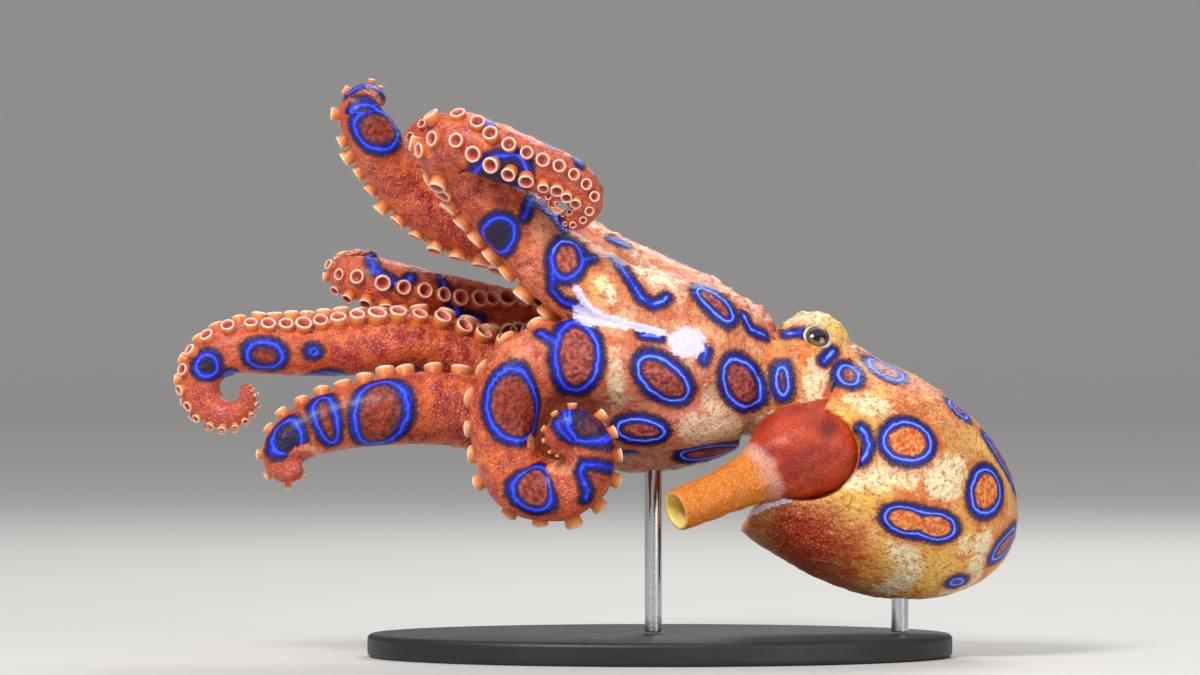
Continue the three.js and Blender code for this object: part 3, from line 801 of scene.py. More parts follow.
def back_rings(tree):
    """The rings that are placed from above, their length along the animal's."""
    rings = []
    for x, y, half_length, half_width in BACK_RINGS:
        at, normal, _, _ = tree.ray_cast(Vector((x, y, 2 * CAMERA_HEIGHT)), Vector((0, 0, -1)))
        if at is None:
            continue
        normal = np.array(normal)
        along = unit(FORWARD - normal * (FORWARD @ normal))
        axes = [half_length * along, half_width * np.cross(normal, along)]
        rings.append(BodyRing(np.array(at), normal, axes, 0, BACK_RING_TONE))
    return rings


def body_rings(tree):
    rings = []
    for pixel_x, pixel_y, half_width, half_height, tilt, waist, tone in BODY_RINGS:
        found = cast(tree, pixel_x, pixel_y)
        if found:
            hit, normal, sight = found
            axes = seen_axes(sight, normal, half_width, half_height, tilt)
            rings.append(BodyRing(hit, normal, axes, waist, tone))
    for match in [far_ring(tree, ring) for ring in rings] + back_rings(tree):
        clear = all(np.linalg.norm(match.centre - r.centre) > match.size + r.size for r in rings)
        if clear and match.normal @ VIEW_AXIS < SEEN_SLANT:
            rings.append(match)
    return rings


class ArmMap:
    """Where each point of the skin lies on the arms: which arm, how far along, and at what angle."""

    def __init__(self, points):
        self.arm = np.full(len(points), -1)
        self.distance = np.zeros(len(points))
        self.angle = np.zeros(len(points))
        self.radius = np.ones(len(points))
        best = np.full(len(points), 1e9)
        for number, limb in enumerate(arms.values()):
            steps = np.arange(0, limb.length, ARM_MAP["step"])
            f = limb.frames(steps)
            low = limb.line.min(0) - ARM_MAP["margin"]
            high = limb.line.max(0) + ARM_MAP["margin"]
            near = np.flatnonzero(((points > low) & (points < high)).all(1))
            nearest = np.empty(len(near), int)
            chunks = max(1, len(near) // ARM_MAP["chunk"])
            for chunk in np.array_split(np.arange(len(near)), chunks):
                gaps = ((points[near[chunk], None, :] - f["centre"][None]) ** 2).sum(-1)
                nearest[chunk] = gaps.argmin(1)
            offset = points[near] - f["centre"][nearest]
            distance = np.clip(steps[nearest] + (offset * f["along"][nearest]).sum(1), 0, limb.length)
            g = limb.frames(distance)
            offset = points[near] - g["centre"]
            gap = np.linalg.norm(offset, axis=1) - g["radius"]
            better = gap < best[near]
            chosen = near[better]
            best[chosen] = gap[better]
            self.arm[chosen] = number
            self.distance[chosen] = distance[better]
            self.radius[chosen] = g["radius"][better]
            angle = np.arctan2((offset * g["side"]).sum(1), (offset * g["oral"]).sum(1))
            self.angle[chosen] = angle[better]
        self.gap = best


FAR_ARM_RING = {"first": 30, "end": 4, "clear": 1.5, "tone": 0.8}  # the distances in millimetres
FAR_ARM_RING_SHARES = {"spacing": 1.25, "along": 0.62, "round": 0.78}  # of the arm's radius


def seen_arm_rings(tree, points, where, number, name, limb):
    """One arm's rings that the photograph shows."""
    rings = []
    for pixel_x, pixel_y, half_width, half_height, tilt, waist, tone in ARM_RINGS.get(name, []):
        found = cast(tree, pixel_x, pixel_y)
        if not found:
            continue
        hit, normal, sight = found
        nearest = ((points - hit) ** 2).sum(1).argmin()
        if where.arm[nearest] != number:
            continue
        along, angle = where.distance[nearest], where.angle[nearest]
        f = limb.frames(along)
        round_arm = math.cos(angle) * f["side"] - math.sin(angle) * f["oral"]
        radius = float(f["radius"])
        axes = seen_axes(sight, normal, half_width, half_height, tilt)
        flat = np.array([[axis @ f["along"] for axis in axes], [axis @ round_arm for axis in axes]])
        flat[1] = radius * np.arcsin(np.clip(flat[1] / radius, -0.95, 0.95))
        rings.append(ArmRing(along, angle, flat, waist, tone))
    return rings


def far_arm_rings(limb, placed):
    """More rings along the back of an arm, where the photograph doesn't show it."""
    rings = []
    distance = FAR_ARM_RING["first"]
    while distance < limb.length - FAR_ARM_RING["end"]:
        f = limb.frames(distance)
        radius = float(f["radius"])
        half_along = FAR_ARM_RING_SHARES["along"] * radius
        half_round = FAR_ARM_RING_SHARES["round"] * radius
        at = limb.surface(distance, math.pi)
        gaps = [np.linalg.norm(at - limb.surface(r.along, r.angle)) - r.size for r in placed + rings]
        hidden = -float(f["oral"] @ VIEW_AXIS) < SEEN_SLANT
        if hidden and (not gaps or min(gaps) > half_along + FAR_ARM_RING["clear"]):
            axes = np.diag([half_along, half_round])
            rings.append(ArmRing(distance, math.pi, axes, 0, FAR_ARM_RING["tone"]))
        distance += FAR_ARM_RING_SHARES["spacing"] * radius
    return rings


def line_distance(tree, points, pixels):
    """Millimetres from an open line that is given by the pixels it passes through."""
    pixels = np.array(pixels, float)
    ends = np.concatenate([np.linspace(a, b, LINE["steps"]) for a, b in zip(pixels, pixels[1:])])
    found = [cast(tree, *pixel) for pixel in ends]
    hits = np.array([f[0] for f in found if f])
    distance = np.full(len(points), FAR_OFF)
    if len(hits) == 0:
        return distance
    low, high = hits.min(0) - LINE["reach"], hits.max(0) + LINE["reach"]
    near = np.flatnonzero(((points > low) & (points < high)).all(1))
    gaps = np.linalg.norm(points[near, None] - hits[None], axis=2)
    distance[near] = gaps.min(1)
    return distance


def ring_distances(tree, points, skin_normals, where, on_arm):
    """The distance of each point from the nearest ring's line, and the tone of that ring's filling."""
    best = np.full(len(points), FAR_OFF)
    tone = np.zeros(len(points))

    def keep(chosen, distance, ring_tone):
        nearer = distance < best[chosen]
        best[chosen[nearer]] = distance[nearer]
        tone[chosen[nearer]] = ring_tone

    body = np.flatnonzero(~((where.distance > BODY_RING_LIMIT) & on_arm))
    for ring in body_rings(tree):
        keep(body, ring.distance(points[body], skin_normals[body]), ring.tone)
    for number, (name, limb) in enumerate(arms.items()):
        chosen = np.flatnonzero((where.arm == number) & on_arm)
        placed = seen_arm_rings(tree, points, where, number, name, limb)
        for ring in placed + far_arm_rings(limb, placed):
            keep(chosen, ring.distance(where, chosen), ring.tone)
    everywhere = np.arange(len(points))
    for pixels in OPEN_LINES:
        keep(everywhere, line_distance(tree, points, pixels), 1.0)
    return best, tone


# Patches of colour, as the photograph shows them: pixel_x, pixel_y, half_width, half_height, tilt, strength
PATCHES = {
    "cream": [
        (880, 476, 44, 14, 2, 1.0),
        (946, 478, 22, 22, 30, 1.0),
        (870, 405, 26, 12, -20, 0.8),
        (906, 556, 20, 10, -30, 1.0),
        (985, 548, 12, 20, 10, 0.9),
        (965, 545, 10, 8, 0, 0.8),
        (815, 385, 13, 30, -12, 1.0),
        (806, 322, 18, 9, 0, 0.8),
        (722, 408, 18, 26, 24, 1.0),
        (706, 428, 26, 15, 0, 1.0),
        (745, 425, 30, 9, 30, 0.9),
        (616, 385, 9, 36, 5, 0.8),
        (560, 385, 6, 12, 10, 0.8),
        (608, 292, 18, 8, -50, 0.8),
        (660, 283, 30, 9, -34, 0.9),
        (620, 245, 26, 7, -34, 0.7),
        (690, 365, 16, 6, -20, 0.6),
    ],
    "pale_and_highlight": [
        # the first four are a painted highlight on the wet web and its fold; the last is a pale papilla at
        # the collar's edge
        (687, 342, 18, 15, 0, 1.0),
        (590, 316, 18, 9.5, -14, 1.0),
        (614, 322, 22, 6.5, -13, 1.0),
        (642, 329, 26, 3.5, -15, 1.0),
        (817, 406, 4, 5, 0, 1.0),
    ],
    "yellow": [
        (972, 530, 14, 30, -10, 0.9),
        (930, 556, 40, 12, 0, 0.7),
        (860, 420, 40, 14, 0, 0.6),
        (870, 500, 36, 10, -8, 0.7),
        (598, 285, 16, 12, -50, 0.9),
        (800, 318, 22, 12, 0, 0.7),
    ],
    "red": [
        (800, 545, 50, 44, -30, 1.0),
        (860, 585, 54, 20, -10, 0.8),
        (905, 412, 34, 8, 0, 0.5),
        (955, 445, 16, 34, 30, 0.5),
        (545, 362, 18, 12, -40, 0.9),
        (600, 440, 16, 60, 0, 0.4),
        (790, 365, 8, 30, 10, 0.5),
        (772, 327, 14, 8, -20, 0.8),
    ],
    "lilac": [
        (900, 592, 84, 9, -6, 0.9),
        (960, 400, 74, 8, -38, 0.8),
        (880, 362, 34, 9, -28, 0.7),
        (640, 462, 64, 9, -5, 0.8),
        (1016, 480, 6, 36, 10, 0.6),
        (680, 395, 60, 40, 0, 0.35),
    ],
}


PATCH_END = 1.6  # where a patch has faded, in its half widths


def patches(points, rows):
    """How strongly each point lies in a list of soft oval patches."""
    scale = CAMERA_DISTANCE / (CAMERA_DISTANCE + points[:, 1])
    pixel_x = IMAGE["middle_x"] + points[:, 0] * scale / PIXEL
    pixel_y = IMAGE["middle_y"] - (points[:, 2] - CAMERA_HEIGHT) * scale / PIXEL
    total = np.zeros(len(points))
    for x, y, half_width, half_height, tilt, strength in rows:
        turn = math.radians(tilt)
        dx, dy = pixel_x - x, y - pixel_y
        u = (dx * math.cos(turn) + dy * math.sin(turn)) / half_width
        v = (-dx * math.sin(turn) + dy * math.cos(turn)) / half_height
        total = np.maximum(total, strength * np.clip(PATCH_END - np.sqrt(u**2 + v**2), 0, 1))
    return total


def noise_at(points, scale, seed=0.0):
    """Smooth noise from -1 to 1 at points in millimetres; scale is the size of its lumps."""
    return np.array([noise.noise(Vector(p)) for p in points / scale + seed])


SMOOTHING = {"strength": 0.5, "rounds": 6, "crown_rounds": 24}
# The bumps of the skin: the size of each, the place in the noise, and the height
FOLDS = {"size": 5.0, "seed": 7.0, "height": 0.16}
RIPPLES = {"size": 1.1, "seed": 3.0, "height": 0.05}
LUMPS = {"size": 1.5, "least": 0.05, "height": 0.22}
WARTS = {"height": 0.75}  # along the back of the crown and round the eyes
EYE_MOUND = {"inner": 3.0, "inner_fade": 0.6, "outer": 7.5, "outer_fade": 2}  # from the eye's middle
CALM = {"reach": 1.2, "share": 0.3}  # the bumps are lower near a ring's line
FOLD = {"height": 0.55, "half_width": 1.2}  # the raised fold between two arms
ROOT = {"end": 34, "fade": 8, "gap": 3}  # the smoothed part of an arm
BEFORE_MANTLE = {"smooth": -2, "crown": -9, "fade": 4}  # distances from the mantle's front, along its axis
ON_ARM = {"distance": 22, "gap": 1.5}
ARM_STARTS = 20  # where an arm's own colour starts
BODY_SHARE = 0.12  # how far the body's colour patches reach, as a share of an arm
# Pale lines: along the web's fold a painted highlight, along the mantle's rim its own pale colour
PALE_AND_HIGHLIGHT_LINES = {"half_width": 1.1, "frill": 1.4}


def dress_skin(skin):
    """Smooths the skin, raises its small bumps, and stores what its material needs."""
    points, edges = coordinates(skin), edges_of(skin)
    strength = SMOOTHING["strength"]
    points = smoothed(points, edges, np.full(len(points), strength), SMOOTHING["rounds"])
    where = ArmMap(points)
    at_root = np.clip((ROOT["end"] - where.distance) / ROOT["fade"], 0, 1) * (where.gap < ROOT["gap"])
    front = np.array(MANTLE["front"])
    from_mantle = (points - front) @ unit(np.array(MANTLE["tip"]) - front)
    before_mantle = np.clip((BEFORE_MANTLE["smooth"] - from_mantle) / BEFORE_MANTLE["fade"], 0, 1)
    points = smoothed(points, edges, strength * at_root * before_mantle, SMOOTHING["crown_rounds"])
    set_coordinates(skin, points)

    corners = [tuple(p) for p in points]
    tree = BVHTree.FromPolygons(corners, [tuple(f.vertices) for f in skin.data.polygons])
    skin_normals = normals(skin)
    on_arm = (where.distance > ON_ARM["distance"]) & (where.gap < ON_ARM["gap"])
    ring, tone = ring_distances(tree, points, skin_normals, where, on_arm)
    fold = line_distance(tree, points, WEB_FOLD)
    frill = line_distance(tree, points, MANTLE_FRILL)

    arm_length = np.array([limb.length for limb in arms.values()])[where.arm]
    share = np.clip((where.distance - ARM_STARTS) / (arm_length - ARM_STARTS), 0, 1) * on_arm
    on_far_side = ((points - HEAD_CENTRE) @ LEFT < 0)[:, None]
    near_side = np.where(on_far_side, mirrored(points), points)
    colours = {name: patches(near_side, rows) * (share < BODY_SHARE) for name, rows in PATCHES.items()}
    # The web's fold is painted near-white as a highlight; the mantle's rim is painted its own pale colour
    from_line = np.minimum(fold, PALE_AND_HIGHLIGHT_LINES["frill"] * frill)
    lines = np.clip(PALE_AND_HIGHLIGHT_LINES["half_width"] - from_line, 0, 1)
    colours["pale_and_highlight"] = np.maximum(colours["pale_and_highlight"], lines)
    paint(skin, "ring", ring)
    paint(skin, "tone", tone)
    paint(skin, "crown", np.clip((BEFORE_MANTLE["crown"] - from_mantle) / BEFORE_MANTLE["fade"], 0, 1))
    paint(skin, "arm_share", share)
    paint(skin, "oral", np.cos(where.angle) * on_arm)
    for name, values in colours.items():
        paint(skin, name, values)

    calm = np.where(np.abs(ring) < CALM["reach"], CALM["share"], 1.0)
    folds = noise_at(points, FOLDS["size"], FOLDS["seed"])
    ripples = noise_at(points, RIPPLES["size"], RIPPLES["seed"])
    lumps = np.clip(noise_at(points, LUMPS["size"]) - LUMPS["least"], 0, 1)
    eyes = (EYE_AT, mirrored(EYE_AT))
    round_eye = np.minimum(*(np.linalg.norm(points - at, axis=1) for at in eyes))
    on_mound = np.clip((EYE_MOUND["outer"] - round_eye) / EYE_MOUND["outer_fade"], 0, 1)
    on_mound *= np.clip((round_eye - EYE_MOUND["inner"]) / EYE_MOUND["inner_fade"], 0, 1)
    backwards = np.clip(2 * skin_normals @ BACK - 0.5, 0, 1)
    warty = np.maximum(on_mound, backwards * before_mantle * np.clip(1 - 2 * share, 0.2, 1))
    height = FOLDS["height"] * folds + RIPPLES["height"] * ripples
    height += (LUMPS["height"] + WARTS["height"] * warty) * lumps
    height = height * calm + FOLD["height"] * np.clip(1 - fold / FOLD["half_width"], 0, 1)
    set_coordinates(skin, points + skin_normals * height[:, None])
    shade_smooth(skin)


# The eyes and the funnel


PUPIL = {"half_width": 1.45, "half_height": 0.95}
BEHIND = 5  # what the eye's back half stores


def eyeball(name, centre, out):
    """A ball whose material reads how far each point lies from the line of sight."""
    made = ellipsoid(name, centre, [EYE_RADIUS] * 3, (out, FORWARD, np.cross(out, FORWARD)), 64)
    offset = coordinates(made) - centre
    level, upright = FORWARD, unit(np.cross(out, FORWARD))
    facing = offset @ out
    off_axis = np.linalg.norm(offset - np.outer(facing, out), axis=1)
    paint(made, "off_axis", np.where(facing > 0, off_axis, BEHIND))
    slit = np.hypot(offset @ level / PUPIL["half_width"], offset @ upright / PUPIL["half_height"])
    paint(made, "pupil", np.where(facing > 0, slit, BEHIND))
    shade_smooth(made)
    return made


FUNNEL_WALL = 0.75
FUNNEL_BORE = 11
FUNNEL_ROWS = {
    "sides": 72,
    "outer": 60,
    "inner": 24,
    "root": (0.98, 0.6, 0.3, 0.1),  # how far each row of the closed root is drawn in
    "lip": (30, 60, 90, 120, 150),  # the turn of each row of the rounded lip, in degrees
}
FUNNEL_LUMPS = [(2.2, 3.0, 0.26), (6.0, 9.0, 0.6)]  # size, place in the noise and height
FUNNEL_SPOT = [(826, 432, 7, 8, 0, 1.0)]  # a darker patch on the collar, as the colour patches are given


def funnel():
    """The collar and tube: an outer wall, a rounded lip, and an inner wall down to the bore's end."""
    outer = np.linspace(0, FUNNEL.length, FUNNEL_ROWS["outer"])
    inner = np.linspace(FUNNEL.length, FUNNEL.length - FUNNEL_BORE, FUNNEL_ROWS["inner"])
    sides, root, lip = (FUNNEL_ROWS[key] for key in ("sides", "root", "lip"))
    angle = np.arange(sides) * math.tau / sides
    first_radius = FUNNEL.stations[0, 3]
    rows = [FUNNEL.surface(np.zeros(sides), angle, -first_radius * k) for k in root]
    rows += [FUNNEL.surface(np.full(sides, d), angle) for d in outer]
    end = FUNNEL.frames(FUNNEL.length)
    for turn in np.radians(lip):
        rise = math.sin(turn) * FUNNEL_WALL / 2 * end["along"]
        drawn_in = (1 - math.cos(turn)) * FUNNEL_WALL / 2
        rows.append(FUNNEL.surface(np.full(sides, FUNNEL.length), angle, -drawn_in) + rise)
    rows += [FUNNEL.surface(np.full(sides, d), angle, -FUNNEL_WALL) for d in inner]
    rows.append(FUNNEL.surface(np.full(sides, inner[-1]), angle, -3.0))
    made = outward(mesh_object("funnel_tube", np.vstack(rows), tube_faces(len(rows), sides)))
    along = np.r_[np.zeros(len(root)), outer, np.full(len(lip), FUNNEL.length), inner, inner[-1:]]
    along = np.repeat(along / FUNNEL.length, sides)
    depth = np.r_[np.zeros(len(root) + len(outer)), np.linspace(0, 1, len(lip)), np.ones(len(inner) + 1)]
    depth = np.repeat(depth, sides)
    paint(made, "along", along)
    paint(made, "inside", depth)
    paint(made, "spot", patches(coordinates(made), FUNNEL_SPOT) * (depth == 0))
    points = coordinates(made)
    lumps = sum(noise_at(points, size, seed) * height for size, seed, height in FUNNEL_LUMPS)
    calm = np.clip((1 - along) * 3, 0.1, 1)
    set_coordinates(made, points + normals(made) * (lumps * calm)[:, None])
    shade_smooth(made)
    return made


# Materials


class Nodes:
    """A material's node tree, with short names for the nodes that it needs."""

    def __init__(self, name):
        self.material = bpy.data.materials.new(name)
        self.material.use_nodes = True
        self.tree = self.material.node_tree
        self.shader = self.tree.nodes["Principled BSDF"]
        self.place = self.tree.nodes.new("ShaderNodeTexCoord").outputs["Object"]

    def set(self, **values):
        """Sets the shader's constant inputs; an underscore stands for a space."""
        for name, value in values.items():
            self.shader.inputs[name.replace("_", " ")].default_value = value

    def link(self, output, name):
        self.tree.links.new(output, self.shader.inputs[name])

    def feed(self, socket, value):
        if isinstance(value, bpy.types.NodeSocket):
            self.tree.links.new(value, socket)
        else:
            socket.default_value = value

    def node(self, kind, **inputs):
        """A new node with its inputs fed; an underscore stands for a space."""
        node = self.tree.nodes.new("ShaderNode" + kind)
        for name, value in inputs.items():
            self.feed(node.inputs[name.replace("_", " ")], value)
        return node

    def attribute(self, name):
        node = self.node("Attribute")
        node.attribute_name = name
        return node.outputs["Fac"]

    def math(self, operation, a, b=0.0):
        node = self.node("Math")
        node.operation = operation
        self.feed(node.inputs[0], a)
        self.feed(node.inputs[1], b)
        return node.outputs[0]

    def times(self, a, b):
        return self.math("MULTIPLY", a, b)

    def plus(self, a, b):
        return self.math("ADD", a, b)

    def swing(self, value, reach):
        """Moves noise between 0 and 1 to lie about 0, and scales it."""
        return self.times(self.math("SUBTRACT", value, 0.5), reach)

    def noise(self, size, detail, roughness=0.55):
        """Noise with lumps of a size in millimetres."""
        scale = 1 / (size * MM)
        node = self.node("TexNoise", Scale=scale, Detail=detail, Roughness=roughness, Vector=self.place)
        return node.outputs["Fac"]

    def cells(self, size):
        """The distance from the middle of cells of a size in millimetres."""
        node = self.node("TexVoronoi", Scale=1 / (size * MM), Vector=self.place)
        return node.outputs["Distance"]

    def between(self, value, low, high):
        """0 below low, 1 above high, and smooth between them."""
        node = self.node("MapRange", Value=value, From_Min=low, From_Max=high)
        node.interpolation_type = "SMOOTHSTEP"
        return node.outputs["Result"]

    def mix(self, share, a, b):
        node = self.node("Mix")
        node.data_type = "RGBA"
        self.feed(node.inputs[0], share)
        self.feed(node.inputs[6], a)
        self.feed(node.inputs[7], b)
        return node.outputs[2]

    def ramp(self, value, stops):
        """Colour and alpha by a value; the stops are (value, colour with alpha)."""
        low, high = stops[0][0], stops[-1][0]
        scaled = self.node("MapRange", Value=value, From_Min=low, From_Max=high)
        node = self.node("ValToRGB", Fac=scaled.outputs["Result"])
        node.color_ramp.interpolation = "EASE"
        elements = node.color_ramp.elements
        for i, (at, colour) in enumerate(stops):
            position = (at - low) / (high - low)
            element = elements[i] if i < 2 else elements.new(position)
            element.position = position
            element.color = colour
        return node.outputs["Color"], node.outputs["Alpha"]

    def bump(self, *heights):
        """Stacks bumps, each (height, depth in millimetres)."""
        normal = None
        for height, depth in heights:
            node = self.node("Bump", Distance=depth * MM, Strength=1.0, Height=height)
            if normal:
                self.feed(node.inputs["Normal"], normal)
            normal = node.outputs["Normal"]
        self.link(normal, "Normal")


def rgb(red, green, blue, alpha=1.0):
    """A colour from 0-255 screen values."""
    linear = [((c / 255 + 0.055) / 1.055) ** 2.4 if c > 10 else c / 255 / 12.92 for c in (red, green, blue)]
    return (*linear, alpha)


WET = {"Roughness": 0.46, "Coat_Weight": 0.22, "Coat_Roughness": 0.3, "Specular_IOR_Level": 0.35}


def skin_material():
    n = Nodes("octopus_skin")
    n.set(**WET)
    n.set(Subsurface_Weight=0.08, Subsurface_Scale=0.001, Subsurface_Radius=(1.0, 0.35, 0.2))
    broad, middle, fine, grain = n.noise(9, 2), n.noise(2.4, 4), n.noise(0.7, 4), n.noise(0.26, 2)
    clots, dots = n.noise(1.2, 3, 0.65), n.cells(0.62)
    ring, tone, share = n.attribute("ring"), n.attribute("tone"), n.attribute("arm_share")
    oral, crown = n.attribute("oral"), n.attribute("crown")

    # Mottled ground: orange and yellow on the mantle, pinker on the crown, red-orange on the arms
    ground = n.mix(n.between(middle, 0.38, 0.62), rgb(224, 104, 32), rgb(246, 176, 92))
    ground = n.mix(n.between(broad, 0.42, 0.62), ground, rgb(248, 198, 106))
    pinkish = n.mix(n.between(middle, 0.38, 0.62), rgb(216, 96, 46), rgb(242, 172, 132))
    ground = n.mix(n.times(crown, 0.8), ground, pinkish)
    arm = n.mix(n.between(middle, 0.35, 0.65), rgb(164, 28, 8), rgb(236, 112, 36))
    ground = n.mix(n.between(share, 0.02, 0.35), ground, arm)
    ground = n.mix(n.between(share, 0.6, 1.0), ground, n.mix(middle, rgb(150, 26, 14), rgb(226, 104, 60)))
    yellow = n.times(n.attribute("yellow"), n.between(clots, 0.3, 0.6))
    ground = n.mix(yellow, ground, rgb(246, 190, 66))
    red = n.times(n.attribute("red"), n.between(fine, 0.15, 0.5))
    ground = n.mix(red, ground, rgb(172, 32, 6))
    pale = n.plus(n.attribute("cream"), n.swing(clots, 2.4))
    pale = n.math("SUBTRACT", pale, n.times(n.between(share, 0.0, 0.3), 0.35))
    ground = n.mix(n.times(n.between(pale, 0.3, 0.9), 0.95), ground, rgb(252, 236, 190))
    lilac = n.times(n.attribute("lilac"), n.between(clots, 0.3, 0.6))
    ground = n.mix(lilac, ground, rgb(190, 118, 142))
    ground = n.mix(n.times(n.between(oral, 0.2, 0.9), 0.2), ground, rgb(212, 112, 72))

    # Fine pigment: clots, dark specks and pale grains
    clotted = n.times(n.between(n.noise(0.9, 4, 0.7), 0.5, 0.64), 0.6)
    ground = n.mix(clotted, ground, rgb(176, 52, 14))
    specks = n.times(n.between(dots, 0.42, 0.14), n.between(fine, 0.4, 0.58))
    ground = n.mix(n.times(specks, 0.65), ground, rgb(116, 26, 8))
    grains = n.times(n.between(grain, 0.54, 0.66), 0.45)
    grains = n.times(grains, n.between(share, 0.35, -0.1))
    ground = n.mix(grains, ground, rgb(255, 226, 160))
    flecks = n.times(n.between(grain, 0.46, 0.34), crown)
    ground = n.mix(n.times(flecks, 0.45), ground, rgb(226, 190, 210))

    # A ring: halo, dark border, bright line, dark inner border, and its filling
    wobble = n.swing(n.noise(1.6, 3), 0.7)
    fringe = n.swing(n.noise(0.35, 2), 1.0)
    line = n.plus(ring, wobble)
    halo = n.times(n.between(line, 3.2, 0.9), 0.6)
    ground = n.mix(halo, ground, n.mix(middle, rgb(176, 62, 14), rgb(206, 98, 30)))

    def speckled(dark, light):
        return n.mix(n.between(fine, 0.35, 0.65), dark, light)

    orange = speckled(rgb(208, 76, 12), rgb(242, 164, 84))
    mauve = speckled(rgb(122, 34, 36), rgb(192, 96, 80))
    black = speckled(rgb(12, 6, 44), rgb(34, 14, 70))
    filling = n.mix(n.between(tone, 0.05, 0.4), orange, mauve)
    filling = n.mix(n.between(tone, 0.5, 0.95), filling, black)
    core = n.times(n.between(line, -0.9, -1.7), n.between(tone, 0.98, 0.9))
    core = n.times(core, n.between(tone, 0.55, 0.62))
    filling = n.mix(core, filling, speckled(rgb(104, 22, 12), rgb(172, 62, 32)))
    ground = n.mix(n.between(line, 0.1, -0.3), ground, filling)
    frayed = n.plus(line, fringe)
    border, cover = n.ramp(
        frayed,
        [
            (-1.0, rgb(40, 10, 50, 0.0)),
            (-0.7, rgb(20, 8, 80, 0.85)),
            (-0.3, rgb(12, 14, 136, 1.0)),
            (0.45, rgb(14, 18, 150, 1.0)),
            (0.8, rgb(10, 6, 76, 1.0)),
            (1.15, rgb(30, 8, 44, 0.8)),
            (1.6, rgb(100, 34, 24, 0.0)),
        ],
    )
    colour = n.mix(cover, ground, border)
    reach = n.math("ABSOLUTE", line)
    colour = n.mix(n.between(reach, 0.36, 0.16), colour, rgb(20, 40, 226))
    bright = n.between(reach, 0.22, 0.05)
    on_body = n.between(share, 0.12, 0.0)
    colour = n.mix(bright, colour, n.mix(on_body, rgb(46, 88, 255), rgb(108, 160, 255)))

    # Near-white: a painted highlight on the wet web and its fold, and the skin's own pale rim and papilla
    pale_and_highlight = n.plus(n.attribute("pale_and_highlight"), n.swing(fine, 1.1))
    colour = n.mix(n.times(n.between(pale_and_highlight, 0.4, 0.7), 0.92), colour, rgb(232, 226, 248))
    n.link(colour, "Base Color")
    # The rings' bright line also glows faintly: painted light
    n.link(n.times(n.between(reach, 0.42, 0.06), 0.16), "Emission Strength")
    n.set(Emission_Color=rgb(30, 70, 255))
    n.bump((dots, 0.14), (clots, 0.2), (fine, 0.2), (grain, 0.06))
    return n.material


def sucker_material():
    n = Nodes("octopus_sucker")
    n.set(**WET)
    n.set(Subsurface_Weight=0.12, Subsurface_Scale=0.0008, Subsurface_Radius=(1.0, 0.4, 0.25))
    cup, fine = n.attribute("cup"), n.noise(0.5, 3)
    # Pale on the rim's top, darkening down into the cup to the middle of its floor: painted shade in the
    # hollow
    colour, _ = n.ramp(
        cup,
        [
            (0.0, rgb(196, 70, 26)),
            (0.2, rgb(214, 104, 44)),
            (0.36, rgb(236, 160, 90)),
            (0.48, rgb(250, 222, 200)),
            (0.6, rgb(246, 204, 188)),
            (0.72, rgb(216, 112, 90)),
            (0.85, rgb(170, 58, 44)),
            (1.0, rgb(120, 34, 28)),
        ],
    )
    colour = n.mix(n.times(n.between(fine, 0.5, 0.75), 0.5), colour, rgb(184, 70, 36))
    n.link(colour, "Base Color")
    n.bump((fine, 0.08))
    return n.material


def funnel_material():
    n = Nodes("octopus_funnel")
    n.set(Roughness=0.48, Coat_Weight=0.15, Coat_Roughness=0.3)
    n.set(Subsurface_Weight=0.06, Subsurface_Scale=0.001, Subsurface_Radius=(1.0, 0.45, 0.15))
    along, inside = n.attribute("along"), n.attribute("inside")
    fine, dots, clouds = n.noise(0.6, 4), n.cells(0.5), n.noise(4, 3)
    collar = n.mix(n.between(clouds, 0.35, 0.7), rgb(150, 28, 4), rgb(196, 62, 8))
    specks = n.times(n.between(dots, 0.36, 0.12), 0.55)
    collar = n.mix(specks, collar, rgb(224, 96, 20))
    tube = n.mix(n.between(dots, 0.1, 0.4), rgb(240, 176, 44), rgb(218, 118, 20))
    uneven = n.plus(along, n.swing(clouds, 0.06))
    colour = n.mix(n.between(uneven, 0.47, 0.52), collar, tube)
    band = n.times(n.between(uneven, 0.46, 0.5), n.between(uneven, 0.6, 0.52))
    colour = n.mix(n.times(band, 0.6), colour, rgb(214, 160, 150))
    colour = n.mix(n.times(n.between(fine, 0.52, 0.7), 0.5), colour, rgb(150, 54, 8))
    colour = n.mix(n.times(n.attribute("spot"), 0.6), colour, rgb(86, 8, 6))
    colour = n.mix(inside, colour, rgb(250, 222, 130))
    n.link(colour, "Base Color")
    n.bump((dots, 0.1), (fine, 0.14), (clouds, 0.3))
    return n.material


def eye_material():
    n = Nodes("octopus_eye")
    n.set(Roughness=0.08, Coat_Weight=1.0, Coat_Roughness=0.02)
    off_axis, pupil, fine = n.attribute("off_axis"), n.attribute("pupil"), n.noise(0.3, 3)
    colour, _ = n.ramp(
        off_axis,
        [
            (0.0, rgb(16, 12, 12)),
            (0.95, rgb(40, 26, 16)),
            (1.2, rgb(150, 104, 40)),
            (1.55, rgb(96, 66, 34)),
            (1.72, rgb(70, 52, 40)),
            (1.84, rgb(232, 232, 228)),
            (2.4, rgb(240, 240, 236)),
        ],
    )
    colour = n.mix(n.times(n.between(fine, 0.45, 0.65), 0.35), colour, rgb(90, 52, 22))
    colour = n.mix(n.between(pupil, 1.05, 0.9), colour, rgb(4, 4, 5))
    n.link(colour, "Base Color")
    return n.material


def steel_material():
    n = Nodes("stand_steel")
    n.set(Base_Color=rgb(190, 192, 196), Metallic=1.0)
    grain = n.noise(0.25, 2)
    n.link(n.ramp(grain, [(0.3, rgb(60, 60, 60)), (0.7, rgb(110, 110, 110))])[0], "Roughness")
    n.bump((grain, 0.01))
    return n.material


